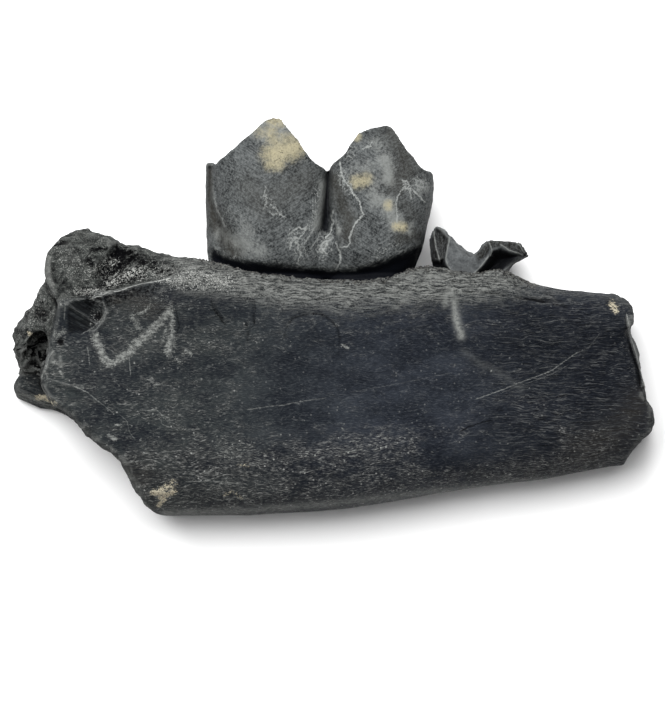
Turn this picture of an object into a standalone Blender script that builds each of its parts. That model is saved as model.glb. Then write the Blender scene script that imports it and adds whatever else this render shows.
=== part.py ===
"""A broken-off section of a fossil llama's lower jaw, lying on its side, with a whole molar and a broken one.

X runs along the jaw, +Y points from the lower edge of the bone to the crowns, and +Z is up, away from the
surface that the jaw rests on. Lists and sizes are in millimetres; meshes are made in metres.
"""

import math

import bmesh
import bpy
import numpy as np
from mathutils import Matrix, Vector, noise

MM = 0.001

# Driving sizes, in millimetres.
JAW_THICKNESS = 15.4
SOCKET_GAP = 0.45
SKIN_VOXEL = 0.5
TOOTH_VOXEL = 0.34
BONE_TRIANGLES = 5400
MOLAR_TRIANGLES = 2200
BROKEN_MOLAR_TRIANGLES = 1100
SOCKET_TRIANGLES = 1200

# Jaw bone: its upper and lower edge as (x, y).
TOP_EDGE = [
    (-38.5, 9.0), (-33.1, 9.6), (-28.5, 10.1), (-26.1, 9.1), (-20.9, 7.3), (-15.7, 6.6), (-12.4, 6.1),
    (-6.1, 4.8), (-1.4, 4.3), (3.2, 4.2), (6.6, 4.6), (9.2, 5.7), (12.4, 5.7), (15.8, 5.2), (19.3, 5.6),
    (22.8, 3.9), (26.2, 3.2), (32.2, 2.6), (38.5, 1.1),
]
LOW_EDGE = [
    (-38.5, -23.2), (-17.0, -23.2), (-8.4, -23.0), (-0.5, -22.6), (5.5, -21.8), (14.8, -20.3),
    (24.3, -19.1), (33.6, -17.2), (38.5, -16.1),
]
# Height of the upper face and of the face it rests on, from the lower edge (0) to the tooth rim (1).
RIM_CREST = 15.0
UPPER_FACE = [
    (0, 6.6), (0.03, 9.3), (0.08, 11.5), (0.16, 13.2), (0.3, 14.1), (0.5, 14.1), (0.66, 13.9),
    (0.76, 14.4), (0.85, RIM_CREST), (0.93, 14.3), (0.98, 12.9), (1, 11.4),
]
RESTING_FACE = [
    (0, 6.6), (0.03, 4.1), (0.08, 2.2), (0.16, 0.8), (0.26, -0.2), (0.5, -0.5), (0.7, -0.3),
    (0.82, 0.5), (0.92, 1.7), (0.98, 2.8), (1, 3.6),
]
# Share of the full thickness along the jaw, and how far the resting face lifts towards the two ends.
THICKNESS_ALONG = [(-38.5, 0.95), (-20, 1.02), (-5, 1.03), (10, 1.0), (24, 0.93), (38.5, 0.86)]
END_LIFT = 1.5
REST_PRESS = 0.12

# Broken ends of the bone, as (x, y).
HIND_BREAK = [
    (-28.5, 11.8), (-30.0, 9.7), (-31.0, 9.3), (-31.9, 8.6), (-32.6, 7.2), (-33.2, 5.9), (-33.2, 5.2),
    (-32.7, 4.2), (-31.6, 1.6), (-31.9, -0.3), (-32.6, -3.2), (-33.2, -5.8), (-33.5, -7.4), (-32.8, -9.3),
    (-31.2, -10.5), (-30.0, -11.2), (-29.0, -12.5), (-28.0, -13.4), (-26.8, -14.6), (-25.6, -15.3),
    (-24.1, -16.5), (-23.7, -17.7), (-22.9, -19.1), (-22.1, -20.2), (-21.8, -21.4), (-20.8, -22.0),
    (-20.2, -22.6), (-18.6, -23.2), (-17.0, -24.4),
]
FRONT_BREAK = [
    (32.2, 4.4), (32.2, 2.8), (33.7, 2.0), (34.5, 1.1), (34.8, -0.1), (34.3, -1.0), (33.8, -1.4),
    (34.8, -3.2), (35.1, -5.5), (35.4, -7.8), (35.8, -8.6), (36.4, -9.7), (36.8, -10.9), (36.9, -11.8),
    (36.7, -13.0), (36.0, -13.7), (35.4, -13.9), (34.9, -14.9), (34.1, -16.0), (33.8, -17.1), (33.8, -19),
]
HIND_CUT_FAR_SIDE = [(-50, -26), (-50, 14)]
FRONT_CUT_FAR_SIDE = [(50, -22), (50, 6)]
CUT_BOTTOM, CUT_TOP = -5, 25
FRONT_BEVEL = 1.0
FRONT_BEVEL_SPAN = (-9.0, -1.2)
FRONT_BEVEL_HEIGHTS = (8.5, 13.5)

# Spongy inside of the bone, which stands out past the hind break, and the far wall plate below it.
SPONGY_CORE = [
    (-31.4, 4.2), (-33.0, 3.9), (-33.9, 3.1), (-34.8, 1.8), (-35.4, 0.6), (-35.7, -0.4), (-36.4, -1.2),
    (-36.5, -1.9), (-36.4, -2.8), (-36.9, -3.8), (-36.9, -4.4), (-36.2, -5.1), (-35.6, -5.6),
    (-33.7, -6.3), (-30.3, -6.3), (-25.6, -1.4), (-25.6, 3.7),
]
CORE_HEIGHTS = (2.4, 3.6, 9.0, 10.6)
CORE_INSETS = (1.4, 0.3, 0.0, 1.6)
CORE_LUMPS = [
    ((-35.1, -4.4, 6.0), 1.4), ((-34.6, -0.9, 8.4), 1.6), ((-33.0, 1.6, 9.2), 1.7),
    ((-31.8, -0.4, 11.2), 1.5), ((-30.6, 2.4, 11.0), 1.5), ((-34.9, -6.0, 4.6), 1.2),
    ((-33.2, -1.6, 10.2), 1.2), ((-35.6, -2.3, 5.2), 1.4),
]
EDGE_LUMP_RADII = (0.8, 1.25)
EDGE_LUMP_HEIGHTS = (3.4, 9.6)
GOLDEN_SHARE = 0.618034
FAR_PLATE_FOOT = [
    (-35.8, -5.6), (-36.8, -7.1), (-37.2, -8.0), (-36.8, -9.6), (-34.1, -10.7), (-32.0, -11.2),
    (-30.3, -11.6), (-26.8, -13.0), (-24.5, -7.2), (-29.1, -2.6), (-33.7, -3.7),
]
FAR_PLATE_FACE = [
    (-35.6, -5.7), (-36.5, -7.1), (-36.8, -7.9), (-36.2, -8.5), (-33.9, -9.2), (-32.3, -9.3),
    (-30.7, -9.5), (-26.8, -11.8), (-24.5, -7.2), (-29.1, -2.6), (-33.7, -3.7),
]
FAR_PLATE_HEIGHTS = (0.6, 4.6)
# Open hollows, as (centre, radii): the marrow hollow at the hind end and the dished front end.
HOLLOWS = [
    ((-33.5, -3.7, 8.9), (1.5, 2.3, 2.8)),
    ((-31.8, -4.5, 7.4), (3.4, 1.6, 2.0)),
    ((-34.0, -5.6, 8.2), (1.5, 1.0, 2.4)),
    ((38.4, -7.4, 7.0), (4.2, 6.0, 3.9)),
]

# Forms of the upper face.
WALL_TOP = [
    (-33.5, 1.2), (-31.0, 1.9), (-28.0, 2.3), (-25.4, 2.8), (-22.8, 3.4), (-19.5, 4.1), (-17.0, 5.1),
    (-14.7, 6.6),
]
LEDGE_HEIGHT = 13.0
LEDGE_FALL = 0.66
LEDGE_STEP_WIDTH = 0.9
LEDGE_END = -15.0
LEDGE_FADE = 4.0
KNOB = ((-30.0, 6.9), (3.0, 2.7), 1.7)
TROUGH = ([(-23.6, 8.4), (-26.4, 4.7)], 0.9, 1.5)
ROOT_SWELLINGS = [
    ((-7.2, -1.5), (4.2, 4.4), 0.35), ((4.2, -1.8), (4.4, 4.6), 0.35), ((16.4, -1.5), (4.2, 4.0), 0.3),
]
BREAK_FACET = [(-30.4, 1.7), (-26.0, 2.2), (-25.4, 0.4), (-26.2, -2.0), (-28.2, -3.2), (-30.2, -2.8)]
BREAK_FACET_DEPTH = 1.0
BREAK_FACET_SLOPE_WIDTH = 0.8

# Unevenness as (size, height, seed), and where the bone is broken and rough.
BONE_SWELL = [(7.0, 0.16, 1), (2.2, 0.07, 2)]
BREAK_SWELL = [(2.6, 0.55, 3), (1.2, 0.3, 4)]
TOOTH_SWELL = [(4.0, 0.1, 5), (1.4, 0.04, 6)]
STUMP_SWELL = [(1.8, 0.12, 7), (0.8, 0.07, 8)]
ROUGH_CORE_X, ROUGH_CORE_FADE, ROUGH_CORE_LOWEST_Y = -31.6, 1.2, -7
ROUGH_LEDGE_X, ROUGH_LEDGE_FADE = -17.0, 5.0
ROUGH_EDGE_WIDTH = 1.6
LEDGE_ROUGHNESS = 0.75
EDGE_ROUGHNESS = 0.5

# Molar. Each lobe: centre x and half width by height y, then its outline towards +Z and -Z by height y.
HIND_LOBE_X = [
    (-7.0, -7.6, 2.3), (-2.0, -7.5, 4.2), (3.4, -6.9, 5.9), (5.4, -6.6, 6.3), (7.0, -6.5, 6.55),
    (10.0, -6.6, 6.5), (14.0, -6.9, 6.6), (17.5, -7.1, 6.65), (24.0, -7.0, 6.2),
]
FORE_LOBE_X = [
    (-7.0, 4.8, 2.2), (-2.0, 4.7, 3.7), (3.4, 4.2, 4.9), (5.4, 4.3, 5.1), (7.0, 4.6, 5.4), (10.0, 5.1, 5.7),
    (14.0, 5.55, 6.05), (17.0, 5.6, 6.05), (23.0, 5.4, 5.7),
]
LOBE_UPPER_Z = [
    (-7.0, 8.4), (-2.0, 9.8), (3.6, 10.7), (4.6, 11.2), (5.6, 12.2), (6.8, 13.0), (8.6, 13.4), (12.0, 13.1),
    (16.0, 12.3), (20.0, 11.1), (24.0, 9.9),
]
LOBE_LOWER_Z = [
    (-7.0, 5.8), (-2.0, 4.6), (3.6, 3.8), (5.6, 2.9), (8.6, 2.1), (12.0, 2.2), (16.0, 3.0), (20.0, 4.3),
    (24.0, 5.4),
]
UPPER_CUSPS = [
    (-14.6, 17.6), (-13.4, 17.8), (-10.7, 20.3), (-7.8, 22.9), (-6.9, 23.3), (-5.9, 23.0), (-3.7, 20.3),
    (-2.0, 18.0), (-0.6, 17.0), (-0.2, 17.6), (1.4, 19.0), (2.2, 20.3), (2.9, 21.2), (4.9, 22.0), (6.1, 22.2),
    (7.0, 22.0), (7.8, 20.9), (8.9, 19.1), (10.1, 17.5), (10.8, 17.0), (11.8, 16.9),
]
LOWER_CUSPS = [
    (-14.6, 16.2), (-10.9, 17.6), (-7.6, 20.2), (-4.4, 18.3), (-1.0, 15.4), (2.0, 17.4), (5.2, 19.6),
    (8.4, 17.7), (11.8, 15.4),
]
FOSSA_DEPTH = 5.2
UPPER_SQUARENESS = 2.5
LOWER_SQUARENESS = 1.75
LOBE_BRIDGE = ((-0.5, 7.9, 8.6), (4.4, 3.6, 3.6))
CUSP_BLEND = 0.55
CUSP_HEIGHT = 17.0
FOSSA_STEPS = [(0.9, 0.02), (0.7, 0.5), (0.42, 0.85), (0.12, 1.0)]
FOSSA_FROM_Y, FOSSA_FADE = 12.0, 6.0
STYLE_X = [
    (-2.0, -11.0, 1.6), (3.6, -11.9, 2.1), (6.4, -12.1, 2.2), (9.5, -12.6, 1.9), (12.0, -13.2, 1.4),
    (15.0, -13.7, 0.95), (17.8, -13.8, 0.75),
]
STYLE_Z = [(-2.0, 4.8, 1.6), (3.6, 6.6, 3.0), (6.4, 6.8, 3.2), (12.0, 6.6, 3.0), (17.8, 6.4, 2.2)]

# Broken molar: centre x and half width by height y, its outline in Z, and the line it broke along.
STUMP_X = [
    (-6.0, 16.6, 2.4), (-2.0, 16.4, 3.4), (4.0, 16.1, 4.2), (6.0, 16.2, 4.6), (7.4, 17.1, 5.8),
    (9.0, 17.2, 6.0), (11.0, 17.2, 6.0),
]
STUMP_UPPER_Z = [(-6.0, 8.4), (-2.0, 9.4), (4.0, 10.4), (5.6, 11.3), (7.4, 12.0), (11.0, 12.2)]
STUMP_LOWER_Z = [(-6.0, 5.6), (-2.0, 4.4), (4.0, 3.6), (7.4, 2.4), (11.0, 2.6)]
STUMP_BREAK = [
    (11.2, 9.2), (11.5, 10.0), (11.8, 10.5), (12.5, 10.1), (13.4, 9.0), (14.2, 8.4), (14.6, 7.6), (15.4, 7.0),
    (16.3, 7.0), (17.1, 7.9), (17.8, 8.9), (19.3, 8.8), (21.0, 8.7), (22.1, 8.1), (22.9, 7.2),
]
STUMP_SLOT = ([(12.6, 9.6), (12.6, 4.8)], 0.42, 1.7)
STUMP_WING = [(17.9, 8.0), (16.2, 5.2), (15.8, 3.0), (24.0, 3.0), (24.0, 7.2), (20.4, 8.0)]
STUMP_WING_DEPTH = 2.2
STUMP_WING_SLOPE_WIDTH = 2.4
STUMP_CUP_STEPS = [(0.8, 0.35), (0.55, 1.1), (0.3, 1.5), (0.1, 1.6)]

# The crowns are shaped above this height, and the sockets end at the next.
GUM_LINE = 4.4
SOCKET_TOP = 9.0

RING_POINTS = 64
STYLE_POINTS = 24
CROWN_RINGS = 40
STATION_STEP = 1.25
CREASE_DEG = 38


def flowing(points, at):
    """A smooth curve through (position, value) pairs, read at the given positions."""
    places, values = np.array(points, float).T
    at = np.clip(at, places[0], places[-1])
    slopes = np.gradient(values, places)
    i = np.clip(np.searchsorted(places, at) - 1, 0, len(places) - 2)
    step = places[i + 1] - places[i]
    t = (at - places[i]) / step
    return (
        (1 + 2 * t) * (1 - t) ** 2 * values[i]
        + t * (1 - t) ** 2 * step * slopes[i]
        + t * t * (3 - 2 * t) * values[i + 1]
        + t * t * (t - 1) * step * slopes[i + 1]
    )


def straight(points, at):
    """The straight-line curve through (position, value) pairs, read at the given positions."""
    places, values = np.array(points, float).T
    return np.interp(at, places, values)


def ease(share):
    """A smooth step from 0 to 1."""
    share = np.clip(share, 0, 1)
    return share * share * (3 - 2 * share)


def between(ends, share):
    """The value a share of the way from the first end to the second."""
    return ends[0] + (ends[1] - ends[0]) * share


def distance_to_path(places, path):
    """How far each (x, y) place is from a path of straight pieces."""
    nearest = np.full(len(places), np.inf)
    for start, end in zip(np.array(path[:-1], float), np.array(path[1:], float)):
        run = end - start
        share = np.clip((places - start) @ run / (run @ run), 0, 1)
        nearest = np.minimum(nearest, np.linalg.norm(places - start - share[:, None] * run, axis=1))
    return nearest


def depth_inside(places, outline):
    """How far each (x, y) place is inside a closed outline; negative outside."""
    closed = outline + outline[:1]
    inside = np.zeros(len(places), bool)
    x, y = places.T
    for (ax, ay), (bx, by) in zip(closed[:-1], closed[1:]):
        if ay != by:
            inside ^= ((ay > y) != (by > y)) & (x < (bx - ax) * (y - ay) / (by - ay) + ax)
    return distance_to_path(places, closed) * np.where(inside, 1, -1)


def unevenness(points, layers):
    """Smooth random height at each point, summed over layers of (feature size, height, seed)."""
    total = np.zeros(len(points))
    for size, height, seed in layers:
        shift = Vector((seed * 17.3, seed * 5.1, seed * 9.7))
        total += height * np.array([noise.noise(Vector(point) / size + shift) for point in points])
    return total


def link(name, mesh):
    """A new object that shows a mesh."""
    made = bpy.data.objects.new(name, mesh)
    bpy.context.scene.collection.objects.link(made)
    return made


def solid_from_rings(name, rings):
    """A closed solid whose skin runs from ring to ring, with both ends capped."""
    bm = bmesh.new()
    loops = [[bm.verts.new(Vector(point) * MM) for point in ring] for ring in rings]
    for low, high in zip(loops, loops[1:]):
        for k in range(len(low)):
            bm.faces.new((low[k - 1], low[k], high[k], high[k - 1]))
    bm.faces.new(loops[0])
    bm.faces.new(loops[-1])
    bmesh.ops.triangulate(bm, faces=[face for face in bm.faces if len(face.verts) > 4])
    bmesh.ops.recalc_face_normals(bm, faces=bm.faces)
    mesh = bpy.data.meshes.new(name)
    bm.to_mesh(mesh)
    bm.free()
    return link(name, mesh)


def ball(name, centre, radii):
    """A rounded lump or a round cutter."""
    bm = bmesh.new()
    bmesh.ops.create_icosphere(bm, subdivisions=3, radius=1)
    bmesh.ops.scale(bm, verts=bm.verts, vec=Vector(radii) * MM)
    bmesh.ops.translate(bm, verts=bm.verts, vec=Vector(centre) * MM)
    mesh = bpy.data.meshes.new(name)
    bm.to_mesh(mesh)
    bm.free()
    return link(name, mesh)


def inset_outline(outline, inset):
    """The outline pulled in towards its centre by about the given distance."""
    points = np.array(outline, float)
    inward = points.mean(axis=0) - points
    reach = np.linalg.norm(inward, axis=1, keepdims=True)
    return points + inward / reach * np.minimum(inset, reach * 0.8)


def stack(name, outlines, heights):
    """A solid with one outline of (x, y) points at each height."""
    return solid_from_rings(name, [[(x, y, z) for x, y in outline] for outline, z in zip(outlines, heights)])


def bake(obj):
    """Replaces an object's mesh by what its modifiers make of it."""
    graph = bpy.context.evaluated_depsgraph_get()
    mesh = bpy.data.meshes.new_from_object(obj.evaluated_get(graph))
    obj.modifiers.clear()
    obj.data = mesh
    return obj


def cut(obj, cutter):
    """Takes a cutter's shape out of an object."""
    modifier = obj.modifiers.new("Cut", "BOOLEAN")
    modifier.operation = "DIFFERENCE"
    modifier.object = cutter
    bake(obj)
    bpy.data.objects.remove(cutter)
    return obj


def fuse(first, others, voxel):
    """One even skin round overlapping solids."""
    bm = bmesh.new()
    for piece in [first, *others]:
        bm.from_mesh(piece.data)
    bm.to_mesh(first.data)
    bm.free()
    for piece in others:
        bpy.data.objects.remove(piece)
    return reskin(first, voxel)


def reskin(obj, voxel):
    """Gives an object an even skin of small square faces."""
    modifier = obj.modifiers.new("Skin", "REMESH")
    modifier.mode = "VOXEL"
    modifier.voxel_size = voxel * MM
    return bake(obj)


def shape(obj, move):
    """Moves an object's points: move takes and returns them in millimetres, and takes their normals too."""
    mesh = obj.data
    points = np.empty(len(mesh.vertices) * 3)
    normals = np.empty(len(mesh.vertices) * 3)
    mesh.vertices.foreach_get("co", points)
    mesh.vertices.foreach_get("normal", normals)
    moved = move(points.reshape(-1, 3) / MM, normals.reshape(-1, 3))
    mesh.vertices.foreach_set("co", (moved * MM).ravel())
    mesh.update()
    return obj


def thin_out(obj, triangles):
    """Keeps about the given number of triangles, most of them where the form turns."""
    obj.data.calc_loop_triangles()
    modifier = obj.modifiers.new("Fewer faces", "DECIMATE")
    modifier.ratio = triangles / len(obj.data.loop_triangles)
    modifier.use_collapse_triangulate = True
    return bake(obj)


def finish(obj, colour, roughness):
    """Smooth shading with sharp creases kept, and the piece's own material."""
    obj.data.shade_smooth()
    obj.data.set_sharp_from_angle(angle=math.radians(CREASE_DEG))
    material = bpy.data.materials.new(obj.name)
    material.use_nodes = True
    surface = material.node_tree.nodes["Principled BSDF"]
    surface.inputs["Base Color"].default_value = (*colour, 1)
    surface.inputs["Roughness"].default_value = roughness
    surface.inputs["Metallic"].default_value = 0
    obj.data.materials.clear()
    obj.data.materials.append(material)
    return obj


def jaw_section(x):
    """The ring of the unbroken bone at one place along the jaw."""
    low, top = straight(LOW_EDGE, x), straight(TOP_EDGE, x)
    size = flowing(THICKNESS_ALONG, x) * JAW_THICKNESS / RIM_CREST
    up = (1 - np.cos(np.linspace(0, math.pi, RING_POINTS // 2))) / 2
    upper = [(x, low + (top - low) * v, flowing(UPPER_FACE, v) * size) for v in up[::-1]]
    lift = END_LIFT * (x / TOP_EDGE[-1][0]) ** 2
    resting = [(x, low + (top - low) * v, flowing(RESTING_FACE, v) + lift) for v in up]
    return upper + resting[1:]


def jaw_blank():
    """The bone before it broke, longer than what is left of it."""
    first, last = TOP_EDGE[0][0], TOP_EDGE[-1][0]
    stations = np.linspace(first, last, round((last - first) / STATION_STEP))
    return solid_from_rings("mandible", [jaw_section(x) for x in stations])


def hind_cutter():
    """What broke away behind the hind end."""
    outline = HIND_BREAK + HIND_CUT_FAR_SIDE
    return stack("hind cutter", [outline, outline], (CUT_BOTTOM, CUT_TOP))


def front_cutter():
    """What broke away before the front end; the break leans back on the upper face."""
    outline = FRONT_BREAK + FRONT_CUT_FAR_SIDE
    low, high = FRONT_BEVEL_SPAN
    leaning = [(x - FRONT_BEVEL * (low < y < high), y) for x, y in outline]
    outlines = [outline, outline, leaning, leaning]
    return stack("front cutter", outlines, (CUT_BOTTOM, *FRONT_BEVEL_HEIGHTS, CUT_TOP))


def spongy_core():
    """The spongy inside with its lumps, and the far wall plate, that stand out past the hind break."""
    core = stack("core", [inset_outline(SPONGY_CORE, i) for i in CORE_INSETS], CORE_HEIGHTS)
    plate = stack("plate", [FAR_PLATE_FOOT, FAR_PLATE_FACE], FAR_PLATE_HEIGHTS)
    lumps = [ball("lump", centre, (radius,) * 3) for centre, radius in CORE_LUMPS]
    return [core, plate, *lumps, *edge_lumps()]


def edge_lumps():
    """A string of small lumps round the edge of the spongy core."""
    made = []
    for k, (x, y) in enumerate(SPONGY_CORE[:-2]):
        radius = between(EDGE_LUMP_RADII, k * GOLDEN_SHARE * 2 % 1)
        height = between(EDGE_LUMP_HEIGHTS, k * GOLDEN_SHARE % 1)
        made.append(ball("lump", (x + radius, y, height), (radius,) * 3))
    return made


def swell(points, bump):
    """The height that a rounded swelling adds at each point."""
    (cx, cy), (rx, ry), height = bump
    return height * np.exp(-(((points[:, 0] - cx) / rx) ** 2) - ((points[:, 1] - cy) / ry) ** 2)


def carve_upper_face(points, normals):
    """The forms of the upper face: the ledge above the wall's top, the knob, the trough and the swellings."""
    places = points[:, :2]
    facing = ease((normals[:, 2] - 0.1) / 0.4)
    z = points[:, 2]
    above = points[:, 1] - straight(WALL_TOP, points[:, 0])
    ledge = LEDGE_HEIGHT - LEDGE_FALL * np.clip(above, 0, None)
    ledge += swell(points, KNOB)
    trough_path, trough_width, trough_depth = TROUGH
    ledge -= trough_depth * np.exp(-((distance_to_path(places, trough_path) / trough_width) ** 2))
    on_ledge = ease(above / LEDGE_STEP_WIDTH + 0.2) * ease((LEDGE_END - points[:, 0]) / LEDGE_FADE)
    lowered = np.minimum(z, z + (ledge - z) * on_ledge)
    for bump in ROOT_SWELLINGS:
        lowered = lowered + swell(points, bump) * facing
    on_facet = ease(depth_inside(places, BREAK_FACET) / BREAK_FACET_SLOPE_WIDTH)
    lowered -= BREAK_FACET_DEPTH * on_facet * facing
    points[:, 2] = np.where(normals[:, 2] > 0.05, lowered, z)
    return points


def broken_share(points):
    """How much each point belongs to a broken, rough part of the bone, from 0 to 1."""
    x, y, _ = points.T
    core = ease((ROUGH_CORE_X - x) / ROUGH_CORE_FADE) * (y > ROUGH_CORE_LOWEST_Y)
    ledge = ease(y - straight(WALL_TOP, x)) * ease((ROUGH_LEDGE_X - x) / ROUGH_LEDGE_FADE)
    edges = sum(
        ease(1 - distance_to_path(points[:, :2], path) / ROUGH_EDGE_WIDTH)
        for path in (HIND_BREAK, FRONT_BREAK)
    )
    return np.clip(core + LEDGE_ROUGHNESS * ledge + EDGE_ROUGHNESS * edges, 0, 1)


def weather_bone(points, normals):
    """Low swellings all over, and rough pits and lumps where the bone is broken."""
    lift = unevenness(points, BONE_SWELL) + broken_share(points) * unevenness(points, BREAK_SWELL)
    return points + normals * lift[:, None]


def rest_flat(points, _normals):
    """Presses everything below the resting plane onto it."""
    points[:, 2] = np.where(points[:, 2] < REST_PRESS, 0, points[:, 2])
    return points


def lobe_rings(widths, upper_z, lower_z, upper_top, lower_top, grow=0.0, top_limit=None):
    """Rings of a tooth lobe from its root to its biting edge, then in and down to the floor of its hollow."""
    floor, ceiling = widths[0][0], max(v for _, v in upper_top)
    angles = np.linspace(0, 2 * math.pi, RING_POINTS, endpoint=False)
    side, front = np.cos(angles), np.sin(angles)
    power = 2 / np.where(front > 0, UPPER_SQUARENESS, LOWER_SQUARENESS)
    side = np.sign(side) * np.abs(side) ** power
    front = np.sign(front) * np.abs(front) ** power
    centres = [(y, x) for y, x, _ in widths]
    halves = [(y, half) for y, _, half in widths]

    def outline(y):
        """The lobe's ring where each of its points has its own height y."""
        middle = (flowing(upper_z, y) + flowing(lower_z, y)) / 2
        reach = (flowing(upper_z, y) - flowing(lower_z, y)) / 2 + grow
        x = flowing(centres, y) + (flowing(halves, y) + grow) * side
        return np.column_stack([x, y, middle + reach * front])

    guess = outline(np.full(len(angles), min(ceiling, CUSP_HEIGHT)))
    share = ease((front / CUSP_BLEND + 1) / 2)
    edge = straight(upper_top, guess[:, 0]) * share + straight(lower_top, guess[:, 0]) * (1 - share)
    if top_limit is not None:
        edge = np.minimum(edge, top_limit)
    rings = [outline(floor + (edge - floor) * step) for step in np.linspace(0, 1, CROWN_RINGS)]
    return rings, edge


def lobe(name, widths, upper_top, lower_top):
    """One lobe of the molar, with the crescent hollow in its biting face."""
    rings, edge = lobe_rings(widths, LOBE_UPPER_Z, LOBE_LOWER_Z, upper_top, lower_top)
    rim = rings[-1]
    middle = rim.mean(axis=0)
    for share, drop in FOSSA_STEPS:
        inner = middle + (rim - middle) * (share, 1, share)
        floor = edge - FOSSA_DEPTH * drop * ease((edge - FOSSA_FROM_Y) / FOSSA_FADE)
        inner[:, 1] = floor.mean() + (floor - floor.mean()) * between((0.3, 1), share)
        rings.append(inner)
    return solid_from_rings(name, rings)


def style(grow=0.0):
    """The thin upright ridge at the molar's hind corner."""
    angles = np.linspace(0, 2 * math.pi, STYLE_POINTS, endpoint=False)
    rings = []
    for y in np.linspace(STYLE_X[0][0], STYLE_X[-1][0], STYLE_POINTS):
        x = flowing([(h, c) for h, c, _ in STYLE_X], y)
        half = flowing([(h, w) for h, _, w in STYLE_X], y) + grow
        z = flowing([(h, c) for h, c, _ in STYLE_Z], y)
        reach = flowing([(h, w) for h, _, w in STYLE_Z], y) + grow
        rings.append([(x + half * math.cos(a), y, z + reach * math.sin(a)) for a in angles])
    return solid_from_rings("style", rings)


def molar():
    """The whole cheek tooth: two lobes with their roots, and the ridge at its hind corner."""
    hind = lobe("molar", HIND_LOBE_X, UPPER_CUSPS, LOWER_CUSPS)
    fore = lobe("fore lobe", FORE_LOBE_X, UPPER_CUSPS, LOWER_CUSPS)
    tooth = fuse(hind, [fore, style(), ball("bridge", *LOBE_BRIDGE)], TOOTH_VOXEL)
    tooth = shape(tooth, weather_tooth)
    return thin_out(tooth, MOLAR_TRIANGLES)


def weather_tooth(points, normals):
    """Slight unevenness of the enamel."""
    lift = unevenness(points, TOOTH_SWELL) * ease((points[:, 1] - GUM_LINE) / 2)
    return points + normals * lift[:, None]


def stump_rings(grow=0.0, top_limit=None):
    """Rings of the broken molar from its root to the line it broke along."""
    return lobe_rings(STUMP_X, STUMP_UPPER_Z, STUMP_LOWER_Z, STUMP_BREAK, STUMP_BREAK, grow, top_limit)


def broken_molar():
    """What is left of the tooth before the molar: a jagged cup of wall on its root."""
    rings, edge = stump_rings()
    rim = rings[-1]
    middle = rim.mean(axis=0)
    for share, drop in STUMP_CUP_STEPS:
        inner = middle + (rim - middle) * (share, 1, share)
        inner[:, 1] = edge * share + edge.mean() * (1 - share) - drop
        rings.append(inner)
    stump = reskin(solid_from_rings("broken_molar", rings), TOOTH_VOXEL)
    stump = shape(stump, break_stump)
    return thin_out(stump, BROKEN_MOLAR_TRIANGLES)


def break_stump(points, normals):
    """The split down one side of the stump, its flaked wing and its jagged edge."""
    places = points[:, :2]
    above_root = ease(points[:, 1] - GUM_LINE)
    facing = ease(normals[:, 2] / 0.4) * above_root
    path, width, depth = STUMP_SLOT
    points[:, 2] -= depth * np.exp(-((distance_to_path(places, path) / width) ** 2)) * facing
    wing = ease(depth_inside(places, STUMP_WING) / STUMP_WING_SLOPE_WIDTH)
    points[:, 2] -= STUMP_WING_DEPTH * wing * facing
    return points + normals * (unevenness(points, STUMP_SWELL) * above_root)[:, None]


def socket_cutter():
    """The shape of the two tooth sockets: each tooth's root and lower crown, a little larger all round."""
    limits = (SOCKET_GAP, SOCKET_TOP)
    lobes = [
        lobe_rings(widths, LOBE_UPPER_Z, LOBE_LOWER_Z, UPPER_CUSPS, LOWER_CUSPS, *limits)[0]
        for widths in (HIND_LOBE_X, FORE_LOBE_X)
    ]
    stump = stump_rings(*limits)[0]
    solids = [solid_from_rings("socket", rings) for rings in [*lobes, stump]] + [style(SOCKET_GAP)]
    cutter = thin_out(fuse(solids[0], solids[1:], TOOTH_VOXEL), SOCKET_TRIANGLES)
    cutter.data.transform(Matrix.Translation((0, -SOCKET_GAP * MM, 0)))
    return cutter


def mandible():
    """The jaw bone: broken at both ends, spongy inside, with a socket for each tooth."""
    bone = reskin(jaw_blank(), SKIN_VOXEL)
    cut(bone, hind_cutter())
    cut(bone, front_cutter())
    fuse(bone, spongy_core(), SKIN_VOXEL)
    for centre, radii in HOLLOWS:
        cut(bone, ball("hollow", centre, radii))
    shape(bone, carve_upper_face)
    reskin(bone, SKIN_VOXEL)
    shape(bone, weather_bone)
    shape(bone, rest_flat)
    thin_out(bone, BONE_TRIANGLES)
    shape(bone, rest_flat)
    return cut(bone, socket_cutter())


def centre_on_footprint(pieces):
    """Moves the pieces together so that the middle of their box is over the origin and its floor at zero."""
    corners = np.array([point.co for piece in pieces for point in piece.data.vertices])
    low, high = corners.min(axis=0), corners.max(axis=0)
    shift = Vector((-(low[0] + high[0]) / 2, -(low[1] + high[1]) / 2, -low[2]))
    for piece in pieces:
        piece.data.transform(Matrix.Translation(shift))


def main():
    """Builds the jaw bone and its two teeth."""
    for old in list(bpy.data.objects):
        bpy.data.objects.remove(old)
    pieces = [
        finish(mandible(), (0.035, 0.038, 0.043), 0.5),
        finish(molar(), (0.1, 0.105, 0.106), 0.42),
        finish(broken_molar(), (0.07, 0.074, 0.076), 0.45),
    ]
    centre_on_footprint(pieces)


main()
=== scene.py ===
"""The looks of a fossil llama jaw: weathered, mineral-darkened bone with a whole molar and a broken one.

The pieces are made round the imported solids. X runs along the jaw from its spongy hind break to its front
break, +Y points to the crowns and +Z is up. Sizes and places are in millimetres; meshes are made in metres.
"""

from __future__ import annotations

import itertools
import logging
import math
from dataclasses import dataclass, field
from enum import Enum
from types import SimpleNamespace
from typing import Any, Sequence

import bmesh
import bpy
import numpy as np
from mathutils import Matrix, Vector


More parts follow.
